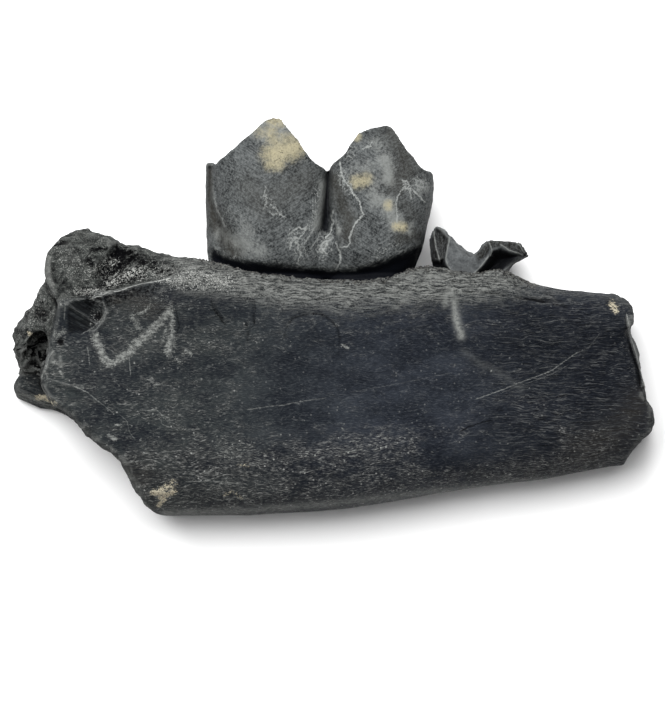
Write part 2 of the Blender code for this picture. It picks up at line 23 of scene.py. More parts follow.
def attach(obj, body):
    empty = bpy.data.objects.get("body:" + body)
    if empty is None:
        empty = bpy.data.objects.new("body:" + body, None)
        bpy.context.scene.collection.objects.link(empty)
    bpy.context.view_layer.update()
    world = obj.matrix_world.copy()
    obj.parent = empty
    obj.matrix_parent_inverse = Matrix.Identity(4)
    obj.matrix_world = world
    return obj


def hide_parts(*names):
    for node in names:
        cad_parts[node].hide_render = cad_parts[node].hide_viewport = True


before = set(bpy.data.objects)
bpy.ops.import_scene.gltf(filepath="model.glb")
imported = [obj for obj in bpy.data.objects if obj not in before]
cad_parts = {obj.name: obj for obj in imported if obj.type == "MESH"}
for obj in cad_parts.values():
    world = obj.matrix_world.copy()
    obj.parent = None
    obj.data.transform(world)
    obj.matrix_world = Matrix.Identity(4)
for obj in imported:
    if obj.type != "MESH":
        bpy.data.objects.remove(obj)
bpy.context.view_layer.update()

log = logging.getLogger("fossil jaw")

MM = 0.001
ROOT_BODY = "root"
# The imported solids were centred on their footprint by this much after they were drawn.
CENTRING = np.array([0.056, 0.163, 0.0])

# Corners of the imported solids' loose triangles are joined within this distance, in millimetres.
DOUBLES = 0.001
# How far beside a drawn line its place is kept, and how far past its ends it fades, in millimetres.
LINE_SIDE = 1.0
LINE_END = 0.3

Array = np.ndarray
Outline = Sequence[tuple[float, float]]
Profile = Sequence[tuple[float, ...]]
Colour = tuple[float, float, float]
Triple = tuple[float, float, float]
Size = float | Sequence[float]
Piece = bpy.types.Object
Material = bpy.types.Material


# ---- maths


def ease(share: Array) -> Array:
    """A smooth step from 0 to 1."""
    share = np.clip(share, 0, 1)
    return share * share * (3 - 2 * share)


def rise(value: Array, start: float, width: float) -> Array:
    """0 up to a start, growing smoothly to 1 over a width; with a negative width it grows the other way."""
    return ease((value - start) / width)


def bell(share: Array) -> Array:
    """1 at zero, falling off smoothly to 0 on both sides."""
    return np.exp(-(share**2))


def straight(points: Profile, at: Array) -> Array:
    """Reads a curve of straight pieces, given as (position, value) pairs; level past its ends."""
    places, values = np.array(points, float).T
    return np.interp(at, places, values)


def flowing(points: Profile, at: Array, column: int = 1) -> Array:
    """Reads a smooth curve, given as rows of a position and one or more values; level past its ends."""
    places, values = np.array(points, float).T[[0, column]]
    at = np.clip(at, places[0], places[-1])
    slopes = np.gradient(values, places)
    i = np.clip(np.searchsorted(places, at) - 1, 0, len(places) - 2)
    step = places[i + 1] - places[i]
    t = (at - places[i]) / step
    return (
        (1 + 2 * t) * (1 - t) ** 2 * values[i]
        + t * (1 - t) ** 2 * step * slopes[i]
        + t * t * (3 - 2 * t) * values[i + 1]
        + t * t * (t - 1) * step * slopes[i + 1]
    )


def distance_to_path(places: Array, path: Outline) -> Array:
    """How far each (x, y) place is from a path."""
    nearest = np.linalg.norm(places - np.array(path[0]), axis=1)
    for start, end in zip(np.array(path[:-1], float), np.array(path[1:], float)):
        run = end - start
        share = np.clip((places - start) @ run / (run @ run), 0, 1)
        nearest = np.minimum(nearest, np.linalg.norm(places - start - share[:, None] * run, axis=1))
    return nearest


def depth_inside(places: Array, outline: Outline) -> Array:
    """How deep each (x, y) place lies inside a closed outline; negative outside."""
    closed = [*outline, outline[0]]
    inside = np.zeros(len(places), bool)
    x, y = places.T
    for (ax, ay), (bx, by) in zip(closed[:-1], closed[1:]):
        if ay != by:
            inside ^= ((ay > y) != (by > y)) & (x < (bx - ax) * (y - ay) / (by - ay) + ax)
    return distance_to_path(places, closed) * np.where(inside, 1, -1)


def beside_path(places: Array, path: Outline) -> tuple[Array, Array, Array]:
    """Measures where places lie beside a path.

    Args:
        places: (x, y) places, one a row.
        path: The path's points.

    Returns:
        For each place its distance, how far it lies to the path's left, and how far past one of its ends.
    """
    corners = np.array(path, float)
    last = len(corners) - 2
    gap = np.full(len(places), np.inf)
    side, past = np.zeros(len(places)), np.zeros(len(places))
    for k, (start, end) in enumerate(zip(corners[:-1], corners[1:])):
        length = np.hypot(*(end - start))
        run = (end - start) / length
        along, across = (places - start) @ run, (places - start) @ np.array([-run[1], run[0]])
        over = np.maximum(np.maximum(along - length, -along), 0)
        beyond = np.maximum(-along, 0) * (k == 0) + np.maximum(along - length, 0) * (k == last)
        away = np.hypot(across, over)
        closer = away < gap
        gap = np.where(closer, away, gap)
        side = np.where(closer, np.where(across < 0, -1, 1) * np.hypot(across, over - beyond), side)
        past = np.where(closer, beyond, past)
    return gap, side, past


@dataclass(frozen=True)
class Field:
    """A random field that comes out the same on each run, read at many (x, y, z) places at once.

    Args:
        size: The size of its features, one number or one for each axis.
        seed: Which field.
    """

    size: Size
    seed: int

    def number(self, cell: Array, more: int = 0) -> Array:
        """A random number from 0 to 1 for each whole-number cell, another one for each value of more."""
        x, y, z = (cell[..., k].astype(np.int64).astype(np.uint64) for k in range(3))
        mixed = x * np.uint64(374761393) + y * np.uint64(668265263) + z * np.uint64(1440662683)
        mixed = (mixed + np.uint64((self.seed + more) * 1013904223)) & np.uint64(0xFFFFFFFF)
        for shift, factor in ((13, 1274126177), (16, 2246822519), (15, 3266489917)):
            mixed = ((mixed ^ (mixed >> np.uint64(shift))) * np.uint64(factor)) & np.uint64(0xFFFFFFFF)
        return (mixed ^ (mixed >> np.uint64(16))).astype(float) / 2**32

    def numbers(self, cell: Array, *more: int) -> Array:
        """Several random numbers for each cell, one column for each value of more."""
        return np.stack([self.number(cell, k) for k in more], axis=-1)

    def smooth(self, places: Array) -> Array:
        """A smooth field: a number from -1 to 1 at each place."""
        at = places / np.asarray(self.size)
        base = np.floor(at)
        share = at - base
        share = share**3 * (share * (share * 6 - 15) + 10)
        total = np.zeros(len(at))
        for corner in itertools.product((0, 1), repeat=3):
            weight = np.prod(np.where(corner, share, 1 - share), axis=1)
            total += weight * self.number(base + corner)
        return total * 2 - 1

    def layered(self, places: Array, layers: int = 3) -> Array:
        """A smooth field and finer, weaker copies of it, each half the size of the last: about -1 to 1."""
        sizes = np.asarray(self.size, float)
        return sum(0.55**k * Field(sizes / 2**k, self.seed + k).smooth(places) for k in range(layers))

    def nearest(self, places: Array) -> tuple[Array, Array, Array]:
        """The nearest of a scatter of cell centres: its distance, its cell and the way from it."""
        at = places / np.asarray(self.size)
        base = np.floor(at)
        near = np.full(len(at), 9.0)
        owner, offset = base.copy(), np.zeros_like(at)
        for step in itertools.product((-1, 0, 1), repeat=3):
            cell = base + step
            centre = cell + self.numbers(cell, 0, 1, 2)
            gap = np.linalg.norm(at - centre, axis=1)
            closer = gap < near
            owner[closer], offset[closer], near[closer] = cell[closer], (at - centre)[closer], gap[closer]
        return near, owner, offset

    def pores(self, places: Array, width: float = 0.42) -> Array:
        """1 in the middle of a round pore, as wide as this share of their spacing, and 0 between pores."""
        return ease((width - self.nearest(places)[0]) / (width * 0.6))

    def facets(self, places: Array) -> Array:
        """Flat facets that lie at random tilts, like broken stone: a height of about -1 to 1."""
        _, owner, offset = self.nearest(places)
        tilt = self.numbers(owner, 7, 8, 9) * 2 - 1
        return np.einsum("ij,ij->i", tilt, offset) * 1.4 + (self.number(owner, 11) - 0.5)

    def scallops(self, places: Array) -> Array:
        """Shallow tilted bowls that meet in sharp ridges, like a fracture in stone: about -1 to 1."""
        at = places / np.asarray(self.size)
        base = np.floor(at)
        lowest = np.full(len(at), 9.0)
        for step in itertools.product((-1, 0, 1), repeat=3):
            cell = base + step
            number = self.numbers(cell, *range(7))
            away = at - cell - number[:, :3]
            tilt = (number[:, 3:6] * 2 - 1) * 0.7
            bowl = np.einsum("ij,ij->i", away, away) + np.einsum("ij,ij->i", tilt, away) + 0.5 * number[:, 6]
            lowest = np.minimum(lowest, bowl)
        return (lowest - 0.3) * 2.2


@dataclass(frozen=True)
class Film:
    """A soft-edged mark that is kept on a mesh, or a low ridge on it.

    Args:
        path: Its points.
        width: How far it spreads from the path.
        strength: How strong it is on the path; for a ridge, its height in millimetres.
    """

    path: Outline
    width: float
    strength: float = 1.0


@dataclass(frozen=True)
class Line:
    """A thin line that a finish draws on a mesh.

    Args:
        path: Its points.
        strength: How strongly it covers; past 1 it is full, and fades later at its ends.
    """

    path: Outline
    strength: float = 1.0


Films = Sequence[Film]
Lines = Sequence[Line]


# ---- meshes


@dataclass(frozen=True)
class Cut:
    """A groove or a ridge along a path.

    Args:
        depth: How deep or high it is, in millimetres.
        width: How far it spreads from the path.
    """

    depth: float
    width: float


def link(name: str, data: bpy.types.ID) -> Piece:
    """A new object in the scene with a mesh, a light or a camera."""
    made = bpy.data.objects.new(name, data)
    bpy.context.scene.collection.objects.link(made)
    return made


def object_from(bm: bmesh.types.BMesh, name: str) -> Piece:
    """A new object in the scene with the mesh that is drawn in a BMesh, which is freed."""
    mesh = bpy.data.meshes.new(name)
    bm.to_mesh(mesh)
    bm.free()
    return link(name, mesh)


def dress(obj: Piece, material: Material) -> Piece:
    """Shades an object smooth and gives it its finish."""
    obj.data.shade_smooth()
    obj.data.materials.append(material)
    return obj


def bake(obj: Piece) -> Piece:
    """Replaces an object's mesh by what its modifiers make of it."""
    graph = bpy.context.evaluated_depsgraph_get()
    mesh = bpy.data.meshes.new_from_object(obj.evaluated_get(graph))
    obj.modifiers.clear()
    obj.data = mesh
    return obj


def reskin(obj: Piece, voxel: float) -> Piece:
    """Gives an object an even skin of small square faces."""
    modifier = obj.modifiers.new("Skin", "REMESH")
    modifier.mode = "VOXEL"
    modifier.voxel_size = voxel * MM
    return bake(obj)


def fuse(first: Piece, others: Sequence[Piece], voxel: float) -> Piece:
    """Makes one even skin round overlapping solids; the first keeps it and the others are removed."""
    bm = bmesh.new()
    for piece in [first, *others]:
        bm.from_mesh(piece.data)
    bm.to_mesh(first.data)
    bm.free()
    for piece in others:
        bpy.data.objects.remove(piece)
    return reskin(first, voxel)


def solid_from_rings(name: str, rings: Sequence[Array]) -> Piece:
    """Makes a closed solid whose skin runs along rings of equally many points, capped at both ends."""
    bm = bmesh.new()
    loops = [[bm.verts.new(Vector(point) * MM) for point in ring] for ring in rings]
    for low, high in zip(loops, loops[1:]):
        for k in range(len(low)):
            bm.faces.new((low[k - 1], low[k], high[k], high[k - 1]))
    bm.faces.new(loops[0])
    bm.faces.new(loops[-1])
    bmesh.ops.triangulate(bm, faces=[face for face in bm.faces if len(face.verts) > 4])
    bmesh.ops.recalc_face_normals(bm, faces=bm.faces)
    return object_from(bm, name)


def copy_of_node(node: str, name: str) -> Piece:
    """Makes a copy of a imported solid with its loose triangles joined."""
    bm = bmesh.new()
    bm.from_mesh(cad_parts[node].data)
    bmesh.ops.remove_doubles(bm, verts=bm.verts, dist=DOUBLES * MM)
    return object_from(bm, name)


def read(items: Any, name: str, width: int, kind: type = float) -> Array:
    """One property of all of a mesh's vertices or edges, a row for each of them."""
    values = np.empty(len(items) * width, kind)
    items.foreach_get(name, values)
    return values.reshape(-1, width)


class Skin:
    """The points of one piece's mesh, in millimetres, while it is sculpted."""

    def __init__(self, obj: Piece) -> None:
        """Reads an object's mesh."""
        self.obj = obj
        self.mesh = obj.data
        self.points = read(self.mesh.vertices, "co", 3) / MM
        self.edges = read(self.mesh.edges, "vertices", 2, np.int32)
        self.neighbours = np.bincount(self.edges.ravel(), minlength=len(self.points)).astype(float)
        self.refresh()

    @property
    def flat(self) -> Array:
        """The points' places seen from above."""
        return self.points[:, :2]

    @property
    def up(self) -> Array:
        """How far each point faces up, from -1 to 1."""
        return self.normals[:, 2]

    def refresh(self) -> None:
        """Writes the points to the mesh and reads the normals they give."""
        self.mesh.vertices.foreach_set("co", (self.points * MM).ravel())
        self.mesh.update()
        self.normals = read(self.mesh.vertices, "normal", 3)

    def average(self, values: Array) -> Array:
        """The mean of each point's neighbours, for one column of values."""
        a, b = self.edges.T
        total = np.bincount(a, weights=values[b], minlength=len(values))
        total += np.bincount(b, weights=values[a], minlength=len(values))
        return total / self.neighbours

    def even_out(self, share: Array, rounds: int) -> None:
        """Smooths the skin this many rounds, each point by its share from 0 to 1."""
        for _ in range(rounds):
            for axis in range(3):
                column = self.points[:, axis]
                self.points[:, axis] += share * 0.6 * (self.average(column) - column)
        self.refresh()

    def lift(self, height: Array) -> None:
        """Moves each point out along its normal."""
        self.points += self.normals * height[:, None]
        self.refresh()

    def hollows(self, rounds: int) -> Array:
        """How far each point lies below the skin this many rounds around it; negative on a crest."""
        mean = self.points.copy()
        for _ in range(rounds):
            for axis in range(3):
                mean[:, axis] = self.average(mean[:, axis])
        return np.einsum("ij,ij->i", mean - self.points, self.normals)

    def beside(self, path: Outline, width: Array | float) -> Array:
        """1 on a path seen from above, fading to 0 beside it."""
        return bell(distance_to_path(self.flat, path) / width)

    def inside(self, outline: Outline, margin: float, width: float) -> Array:
        """0 from a margin outside an outline seen from above, growing inwards over a width to 1."""
        return rise(depth_inside(self.flat, outline), -margin, width)

    def filmed(self, films: Films) -> Array:
        """The strength of the strongest of some soft-edged marks at each point."""
        return np.max([film.strength * self.beside(film.path, film.width) for film in films], axis=0)

    def mark(self, **marks: Array) -> None:
        """Keeps marks on the mesh by their names, each one number a point, for the piece's finish."""
        for name, values in marks.items():
            attribute = self.mesh.attributes.new(name, "FLOAT", "POINT")
            attribute.data.foreach_set("value", np.clip(values, 0, 1).astype(np.float32))

    def draw(self, name: str, lines: Lines, share: Array) -> None:
        """Keeps thin lines on the mesh: how far beside the nearest line each point lies, and its strength."""
        nearest = np.full(len(self.points), np.inf)
        offset, ink = np.zeros(len(nearest)), np.zeros(len(nearest))
        for line in lines:
            gap, side, past = beside_path(self.flat, line.path)
            closer = gap < nearest
            nearest[closer], offset[closer] = gap[closer], side[closer]
            ink[closer] = (line.strength * ease(1 - past / LINE_END))[closer]
        ink *= ease((LINE_SIDE - nearest) / (LINE_SIDE / 2)) * share
        self.mark(**{name + "_side": 0.5 + offset / (2 * LINE_SIDE), name + "_ink": ink})


# ---- shaders


class Shader:
    """A material's node tree, built by expressions on its sockets."""

    def __init__(self, name: str) -> None:
        """Starts a material with an empty surface."""
        self.material = bpy.data.materials.new(name)
        self.material.use_nodes = True
        self.tree = self.material.node_tree
        self.surface = self.tree.nodes["Principled BSDF"]

    def node(
        self,
        kind: str,
        settings: dict[str, Any] | None = None,
        inputs: dict[int | str, Any] | None = None,
        output: int | str = 0,
    ) -> Socket:
        """Adds one node.

        Args:
            kind: The node's type, without its ShaderNode prefix.
            settings: Its own settings, set before its sockets.
            inputs: A value or a link for each of its sockets, by name or number.
            output: The socket to return.

        Returns:
            The node's output.
        """
        made = self.tree.nodes.new("ShaderNode" + kind)
        for name, value in (settings or {}).items():
            setattr(made, name, value)
        for name, value in (inputs or {}).items():
            self.feed(made.inputs[name], value)
        return Socket(self, made.outputs[output])

    def feed(self, socket: bpy.types.NodeSocket, value: Any) -> None:
        """Sets a socket to a value, or links it."""
        if isinstance(value, Socket):
            self.tree.links.new(value.socket, socket)
        elif socket.type == "RGBA" and len(value) == 3:
            socket.default_value = (*value, 1)
        else:
            socket.default_value = value

    def vector(self, operation: str, first: Any, second: Any, output: str = "Vector") -> Socket:
        """Adds a Vector Math node on two vectors."""
        return self.node("VectorMath", {"operation": operation}, {0: first, 1: second}, output)

    def scaled(self, vector: Any, factor: Any) -> Socket:
        """A vector times a number."""
        return self.node("VectorMath", {"operation": "SCALE"}, {0: vector, "Scale": factor})

    def attribute(self, name: str) -> Socket:
        """One number a point that was kept on the mesh."""
        return self.node("Attribute", {"attribute_name": name}, output="Fac")

    def attributes(self, *names: str) -> SimpleNamespace:
        """Several such numbers, each under its own name."""
        return SimpleNamespace(**{name: self.attribute(name) for name in names})

    def in_sizes(self, places: Socket, size: Size) -> Socket:
        """Places counted in sizes, one number or one for each axis."""
        return self.vector("DIVIDE", places, size if isinstance(size, tuple) else (size,) * 3)

    def noise(self, places: Socket, size: Size, detail: float = 3.0, rough: float = 0.55) -> Socket:
        """Adds smooth noise.

        Args:
            places: Where it is read, in millimetres.
            size: The size of its features, one number or one for each axis.
            detail: How many finer layers it has.
            rough: How strong the finer layers are.

        Returns:
            A number from 0 to 1, mostly near 0.5.
        """
        at = self.in_sizes(places, size)
        return self.node("TexNoise", {}, {"Vector": at, "Scale": 1.0, "Detail": detail, "Roughness": rough})

    def cells(self, places: Socket, size: Size, feature: str = "F1") -> Socket:
        """Adds random cells and returns the distance that the feature names, in cell sizes."""
        at = self.in_sizes(places, size)
        return self.node("TexVoronoi", {"feature": feature}, {"Vector": at, "Scale": 1.0}, "Distance")

    def blend(self, share: Any, first: Any, second: Any, mode: str = "MIX") -> Socket:
        """Mixes a share of the second colour into the first."""
        settings = {"data_type": "RGBA", "blend_type": mode, "clamp_factor": True}
        return self.node("Mix", settings, {0: share, 6: first, 7: second}, 2)

    def line(self, name: str, width: float, wander: Socket) -> Socket:
        """Draws the thin lines that a mesh keeps.

        Args:
            name: The lines' name.
            width: How wide they are, in millimetres.
            wander: How far they stray at each place, in millimetres.

        Returns:
            How much of a line covers each place.
        """
        side = (self.attribute(name + "_side") - 0.5) * (2 * LINE_SIDE) + wander
        return side.near(0.0, width / 2) * self.attribute(name + "_ink")

    def finish(
        self, colour: Socket, roughness: Any, height: Socket, depth: float, **fixed: float
    ) -> Material:
        """Connects the surface.

        Args:
            colour: The base colour.
            roughness: The roughness.
            height: The fine relief, from 0 to 1.
            depth: How deep that relief is, in millimetres.
            fixed: Other sockets of the surface that are the same all over.

        Returns:
            The finished material.
        """
        settings = {"invert": False}
        normal = self.node("Bump", settings, {"Height": height, "Distance": depth * MM, "Strength": 1.0})
        self.fix(Base_Color=colour, Roughness=roughness, Normal=normal, **fixed)
        return self.material

    def fix(self, **fixed: Any) -> None:
        """Sets or links the surface's sockets, by their names."""
        for name, value in fixed.items():
            self.feed(self.surface.inputs[name.replace("_", " ")], value)


@dataclass
class Socket:
    """One output of a node, on which Python's operators add Math nodes."""

    shader: Shader
    socket: bpy.types.NodeSocket

    def _math(self, operation: str, *values: Any) -> Socket:
        """Adds a Math node on some values."""
        return self.shader.node("Math", {"operation": operation}, dict(enumerate(values)))

    def __add__(self, other: Any) -> Socket:
        """self + other"""
        return self._math("ADD", self, other)

    __radd__ = __add__

    def __sub__(self, other: Any) -> Socket:
        """self - other"""
        return self._math("SUBTRACT", self, other)

    def __rsub__(self, other: Any) -> Socket:
        """other - self"""
        return self._math("SUBTRACT", other, self)

    def __mul__(self, other: Any) -> Socket:
        """self * other"""
        return self._math("MULTIPLY", self, other)

    __rmul__ = __mul__

    def __truediv__(self, other: Any) -> Socket:
        """self / other"""
        return self._math("DIVIDE", self, other)

    def size(self) -> Socket:
        """The value without its sign."""
        return self._math("ABSOLUTE", self)

    def at_most(self, other: Any) -> Socket:
        """The smaller of the two."""
        return self._math("MINIMUM", self, other)

    def at_least(self, other: Any) -> Socket:
        """The larger of the two."""
        return self._math("MAXIMUM", self, other)

    def near(self, middle: float, width: float) -> Socket:
        """1 where the value lies at a middle value, and 0 where it lies further off than a width."""
        return (self - middle).size().between(width, width / 3)

    def between(self, low: Any, high: Any, smooth: bool = True) -> Socket:
        """Maps a range to 0 to 1.

        Args:
            low: The value that gives 0.
            high: The value that gives 1; it may be the smaller.
            smooth: Whether the step is eased.

        Returns:
            A number from 0 to 1.
        """
        kind = "SMOOTHSTEP" if smooth else "LINEAR"
        inputs = {"Value": self, "From Min": low, "From Max": high}
        return self.shader.node("MapRange", {"interpolation_type": kind, "clamp": True}, inputs)


@dataclass
class Paint:
    """A colour that is built up in layers."""

    shader: Shader
    colour: Socket

    def cover(self, share: Any, colour: Any) -> None:
        """Lays a colour over what is there, as thickly as a share from 0 to 1."""
        self.colour = self.shader.blend(share, self.colour, colour)


class Places:
    """Where a finish is read: the object's own coordinates, in millimetres."""

    def __init__(self, shader: Shader) -> None:
        """Adds the nodes that read the coordinates."""
        self.shader = shader
        self.full = shader.scaled(shader.node("TexCoord", output="Object"), 1 / MM)
        split = shader.node("SeparateXYZ", {}, {0: self.full}).socket.node
        self.x, self.y, self.z = (Socket(shader, output) for output in split.outputs)

    def noise(self, size: Size, detail: float = 3.0, rough: float = 0.55) -> Socket:
        """Smooth noise at these places."""
        return self.shader.noise(self.full, size, detail, rough)

    def stray(self, scale: float, detail: float, rough: float = 0.5) -> Socket:
        """A random way of up to half a millimetre along each axis."""
        inputs = {"Vector": self.full, "Scale": scale, "Detail": detail, "Roughness": rough}
        return self.shader.vector("SUBTRACT", self.shader.node("TexNoise", {}, inputs, "Color"), (0.5,) * 3)


def speckled(mark: Socket, noise: Socket, grain: float, edge: float = 0.12) -> Socket:
    """Breaks a soft-edged mark up into specks.

    Args:
        mark: The mark's strength.
        noise: The noise that breaks it up.
        grain: How strongly it does.
        edge: Half the width of the step from bare to covered.

    Returns:
        How much of the mark covers each place.
    """
    return (mark + (noise - 0.5) * grain).between(0.5 - edge, 0.5 + edge) * mark.between(0.02, 0.25)


def drop_loose_bits(obj: Piece) -> None:
    """Removes what the carving left standing free of the largest body."""
    mesh = obj.data
    first, second = read(mesh.edges, "vertices", 2, np.int32).T
    body = np.arange(len(mesh.vertices))
    while (body[first] != body[second]).any():
        lower = np.minimum(body[first], body[second])
        np.minimum.at(body, first, lower)
        np.minimum.at(body, second, lower)
        body = body[body]
    loose = np.flatnonzero(body != np.bincount(body).argmax())
    bm = bmesh.new()
    bm.from_mesh(mesh)
    bm.verts.ensure_lookup_table()
    bmesh.ops.delete(bm, geom=[bm.verts[int(k)] for k in loose], context="VERTS")
    bm.to_mesh(mesh)
    bm.free()


# ---- finishes


@dataclass(frozen=True)
class BoneFinish:
    """Mineral-darkened bone: blue-black, worn to grey flecks, fibrous at the tooth rim, raw on the breaks;
    with painted shade in its hollows, pits and gaps, painted highlights on its crests and front strip, and
    painted floor light along its lower edge.
    """

    black: Colour = (0.0050, 0.0062, 0.0090)
    slate: Colour = (0.0218, 0.0256, 0.0330)
    slate_green: Colour = (0.0252, 0.0290, 0.0292)
    worn_grey: Colour = (0.062, 0.062, 0.059)
    fleck: Colour = (0.225, 0.229, 0.220)
    brown: Colour = (0.030, 0.0265, 0.0220)
    fibre_dark: Colour = (0.0085, 0.0100, 0.0110)
    fibre_light: Colour = (0.182, 0.187, 0.178)
    raw_dark: Colour = (0.0042, 0.0045, 0.0050)
    raw_grey: Colour = (0.051, 0.055, 0.052)
    raw_light: Colour = (0.190, 0.194, 0.182)
    pitch: Colour = (0.0014, 0.0015, 0.0019)
    chalk: Colour = (0.190, 0.196, 0.186)
    chalk_bright: Colour = (0.300, 0.305, 0.290)
    cream: Colour = (0.345, 0.315, 0.240)
    cream_brown: Colour = (0.11, 0.085, 0.050)
    marks: tuple[str, ...] = (
        "crevice", "crest", "broken", "rim", "worn", "specks", "dark", "chalk", "haze_and_painted_light", "cream", "brown",
        "grain", "facet",
    )

    def material(self) -> Material:
        """Builds the finish from the marks that the jaw bone keeps on its mesh."""
        shader = Shader("mineralised_bone")
        at = Places(shader)
        bent = shader.vector("ADD", at.full, shader.scaled(at.stray(0.45, 2.0), 0.9))
        clouds = at.noise((7.0, 4.0, 5.0), 4, 0.6)
        patches = at.noise((1.6, 1.0, 1.3), 5, 0.7)
        dashes = shader.noise(bent, (0.54, 0.125, 0.2), 3, 0.75)
        streaks = shader.noise(bent, (2.6, 0.105, 0.3), 3, 0.7)
        fibre = shader.noise(bent, (1.3, 0.16, 0.35), 5, 0.8)
        clumps = at.noise((0.45, 0.34, 0.4), 3, 0.75)
        grit = at.noise(0.17, 2, 0.8)
        mark = shader.attributes(*self.marks)

        tone = clouds.between(0.36, 0.64) * 0.5 + dashes.between(0.36, 0.64) * 0.5
        slate = shader.blend(at.x.between(8.0, -18.0), self.slate, self.slate_green)
        paint = Paint(shader, shader.blend(tone, self.black, slate))
        paint.cover(mark.grain * 0.68, self.black)
        worn = (mark.worn + (patches - 0.5) * 1.9 + (clouds - 0.5) * 0.9).between(0.15, 0.95)
        paint.cover(worn * (0.06 + 0.56 * dashes.between(0.42, 0.58)), self.worn_grey)
        paint.cover(worn * dashes.between(0.47, 0.38) * 0.75, self.black)
        strokes = shader.noise(bent, (2.6, 0.75, 0.9), 2, 0.5).near(0.5, 0.02) * dashes.between(0.44, 0.58)
        flecks = dashes.between(0.57, 0.67).at_least(strokes) * (0.14 + 0.86 * worn)
        flecks = flecks.at_least(streaks.between(0.54, 0.68) * mark.grain * 0.5)
        flecks = flecks.at_least(shader.cells(at.full, 0.95).between(0.14, 0.07) * (0.3 + worn) * 1.2)
        paint.cover(flecks * (0.55 + 0.2 * worn), self.fleck)
        paint.cover(mark.grain * streaks.between(0.47, 0.37) * 0.7, self.pitch)
        paint.cover(mark.brown * (0.2 + 0.5 * streaks.between(0.6, 0.45)), self.brown)
        rim = (mark.rim + (patches - 0.5) * 0.5 + (streaks - 0.5) * 0.9).between(0.08, 0.9)
        fibre_tone = fibre.between(0.445, 0.565) * 0.72 + grit.between(0.44, 0.58) * 0.28
        paint.cover(rim, shader.blend(fibre_tone, self.fibre_dark, self.fibre_light))
        raw = clumps.between(0.4, 0.56) * 0.4 + patches.between(0.38, 0.62) * 0.6
        raw = shader.blend(raw, self.raw_dark, self.raw_grey)
        raw = shader.blend(grit.between(0.53, 0.64) * patches.between(0.36, 0.58) * 0.75, raw, self.raw_light)
        paint.cover(mark.broken, raw)
        # Painted highlight on the crests of the relief.
        paint.cover(mark.crest * 0.22, self.fleck)
        stripes = shader.noise(self.facet_places(shader, at), (3.0, 0.15, 1.0), 3, 0.6)
        facet = mark.facet * (1 - 0.75 * stripes.between(0.5, 0.58))
        paint.cover(facet * 0.74, self.pitch)
        # Painted shade from the dark mark: in the pits, the spongy holes, the hollow, the valley, under the
        # ledge's lip and along the root grooves; also darkening along the rim cracks.
        paint.cover(speckled(mark.dark, 1 - clumps * 0.7 - grit * 0.3, 2.8, 0.3), self.pitch)
        spots = speckled(mark.specks, grit * 0.65 + clumps * 0.35, 5.0, 0.12)
        paint.cover(spots, self.chalk_bright)
        # Painted shade in the hollows and creases.
        paint.cover(mark.crevice * 0.92, self.pitch)

        wander = (clumps - 0.5) * 0.24
        whole = 0.25 + 0.75 * dashes.between(0.42, 0.55)
        # Dark lines: cracks and dark seams, and painted shade along the root grooves and in the gap behind
        # the front strip.
        cracks = shader.line("crack", 0.17, (patches - 0.5) * 0.5 + wander)
        paint.cover(cracks * 0.9, self.pitch)
        # Pale lines: scratches, and a painted highlight along the edge of the front strip.
        lines = shader.line("scratch", 0.17, wander) * whole
        lines = lines.at_least(shader.line("twin", 0.13, wander) * whole)
        chalk = speckled(mark.chalk, clumps * 0.35 + grit * 0.35 + dashes * 0.3, 4.6, 0.35)
        chalk = chalk * (0.3 + 0.7 * clumps.between(0.4, 0.6)) * 0.76 + mark.chalk.between(0.1, 0.9) * 0.1
        # Chalky haze, and painted light: a highlight on the front strip and a pale band of floor light along
        # the lower edge.
        haze_and_painted_light = mark.haze_and_painted_light * (0.4 + 0.6 * clumps.between(0.35, 0.6))
        paint.cover(chalk.at_least(lines).at_least(haze_and_painted_light), self.chalk)
        cream = speckled(mark.cream, clumps * 0.55 + grit * 0.45, 4.2, 0.26)
        paint.cover(cream, shader.blend(grit.between(0.36, 0.54), self.cream_brown, self.cream))

        rough = 0.58 + 0.2 * mark.rim + 0.15 * grit
        height = dashes * (0.22 + 0.3 * worn) + fibre * (0.12 + 0.9 * rim)
        height = height + grit * (0.12 + 0.9 * mark.broken) + streaks * mark.grain * 0.6
        height = height + chalk * 0.2 - cracks * 0.5
        return shader.finish(paint.colour, rough, height, 0.24, Specular_IOR_Level=0.03)

    @staticmethod
    def facet_places(shader: Shader, at: Places) -> Socket:
        """Places turned so that their x runs along the lines on the chipped facet."""
        along, across = at.x * 0.87 - at.y * 0.5, at.x * 0.5 + at.y * 0.87
        return shader.node("CombineXYZ", {}, {0: along, 1: across, 2: 0.0})


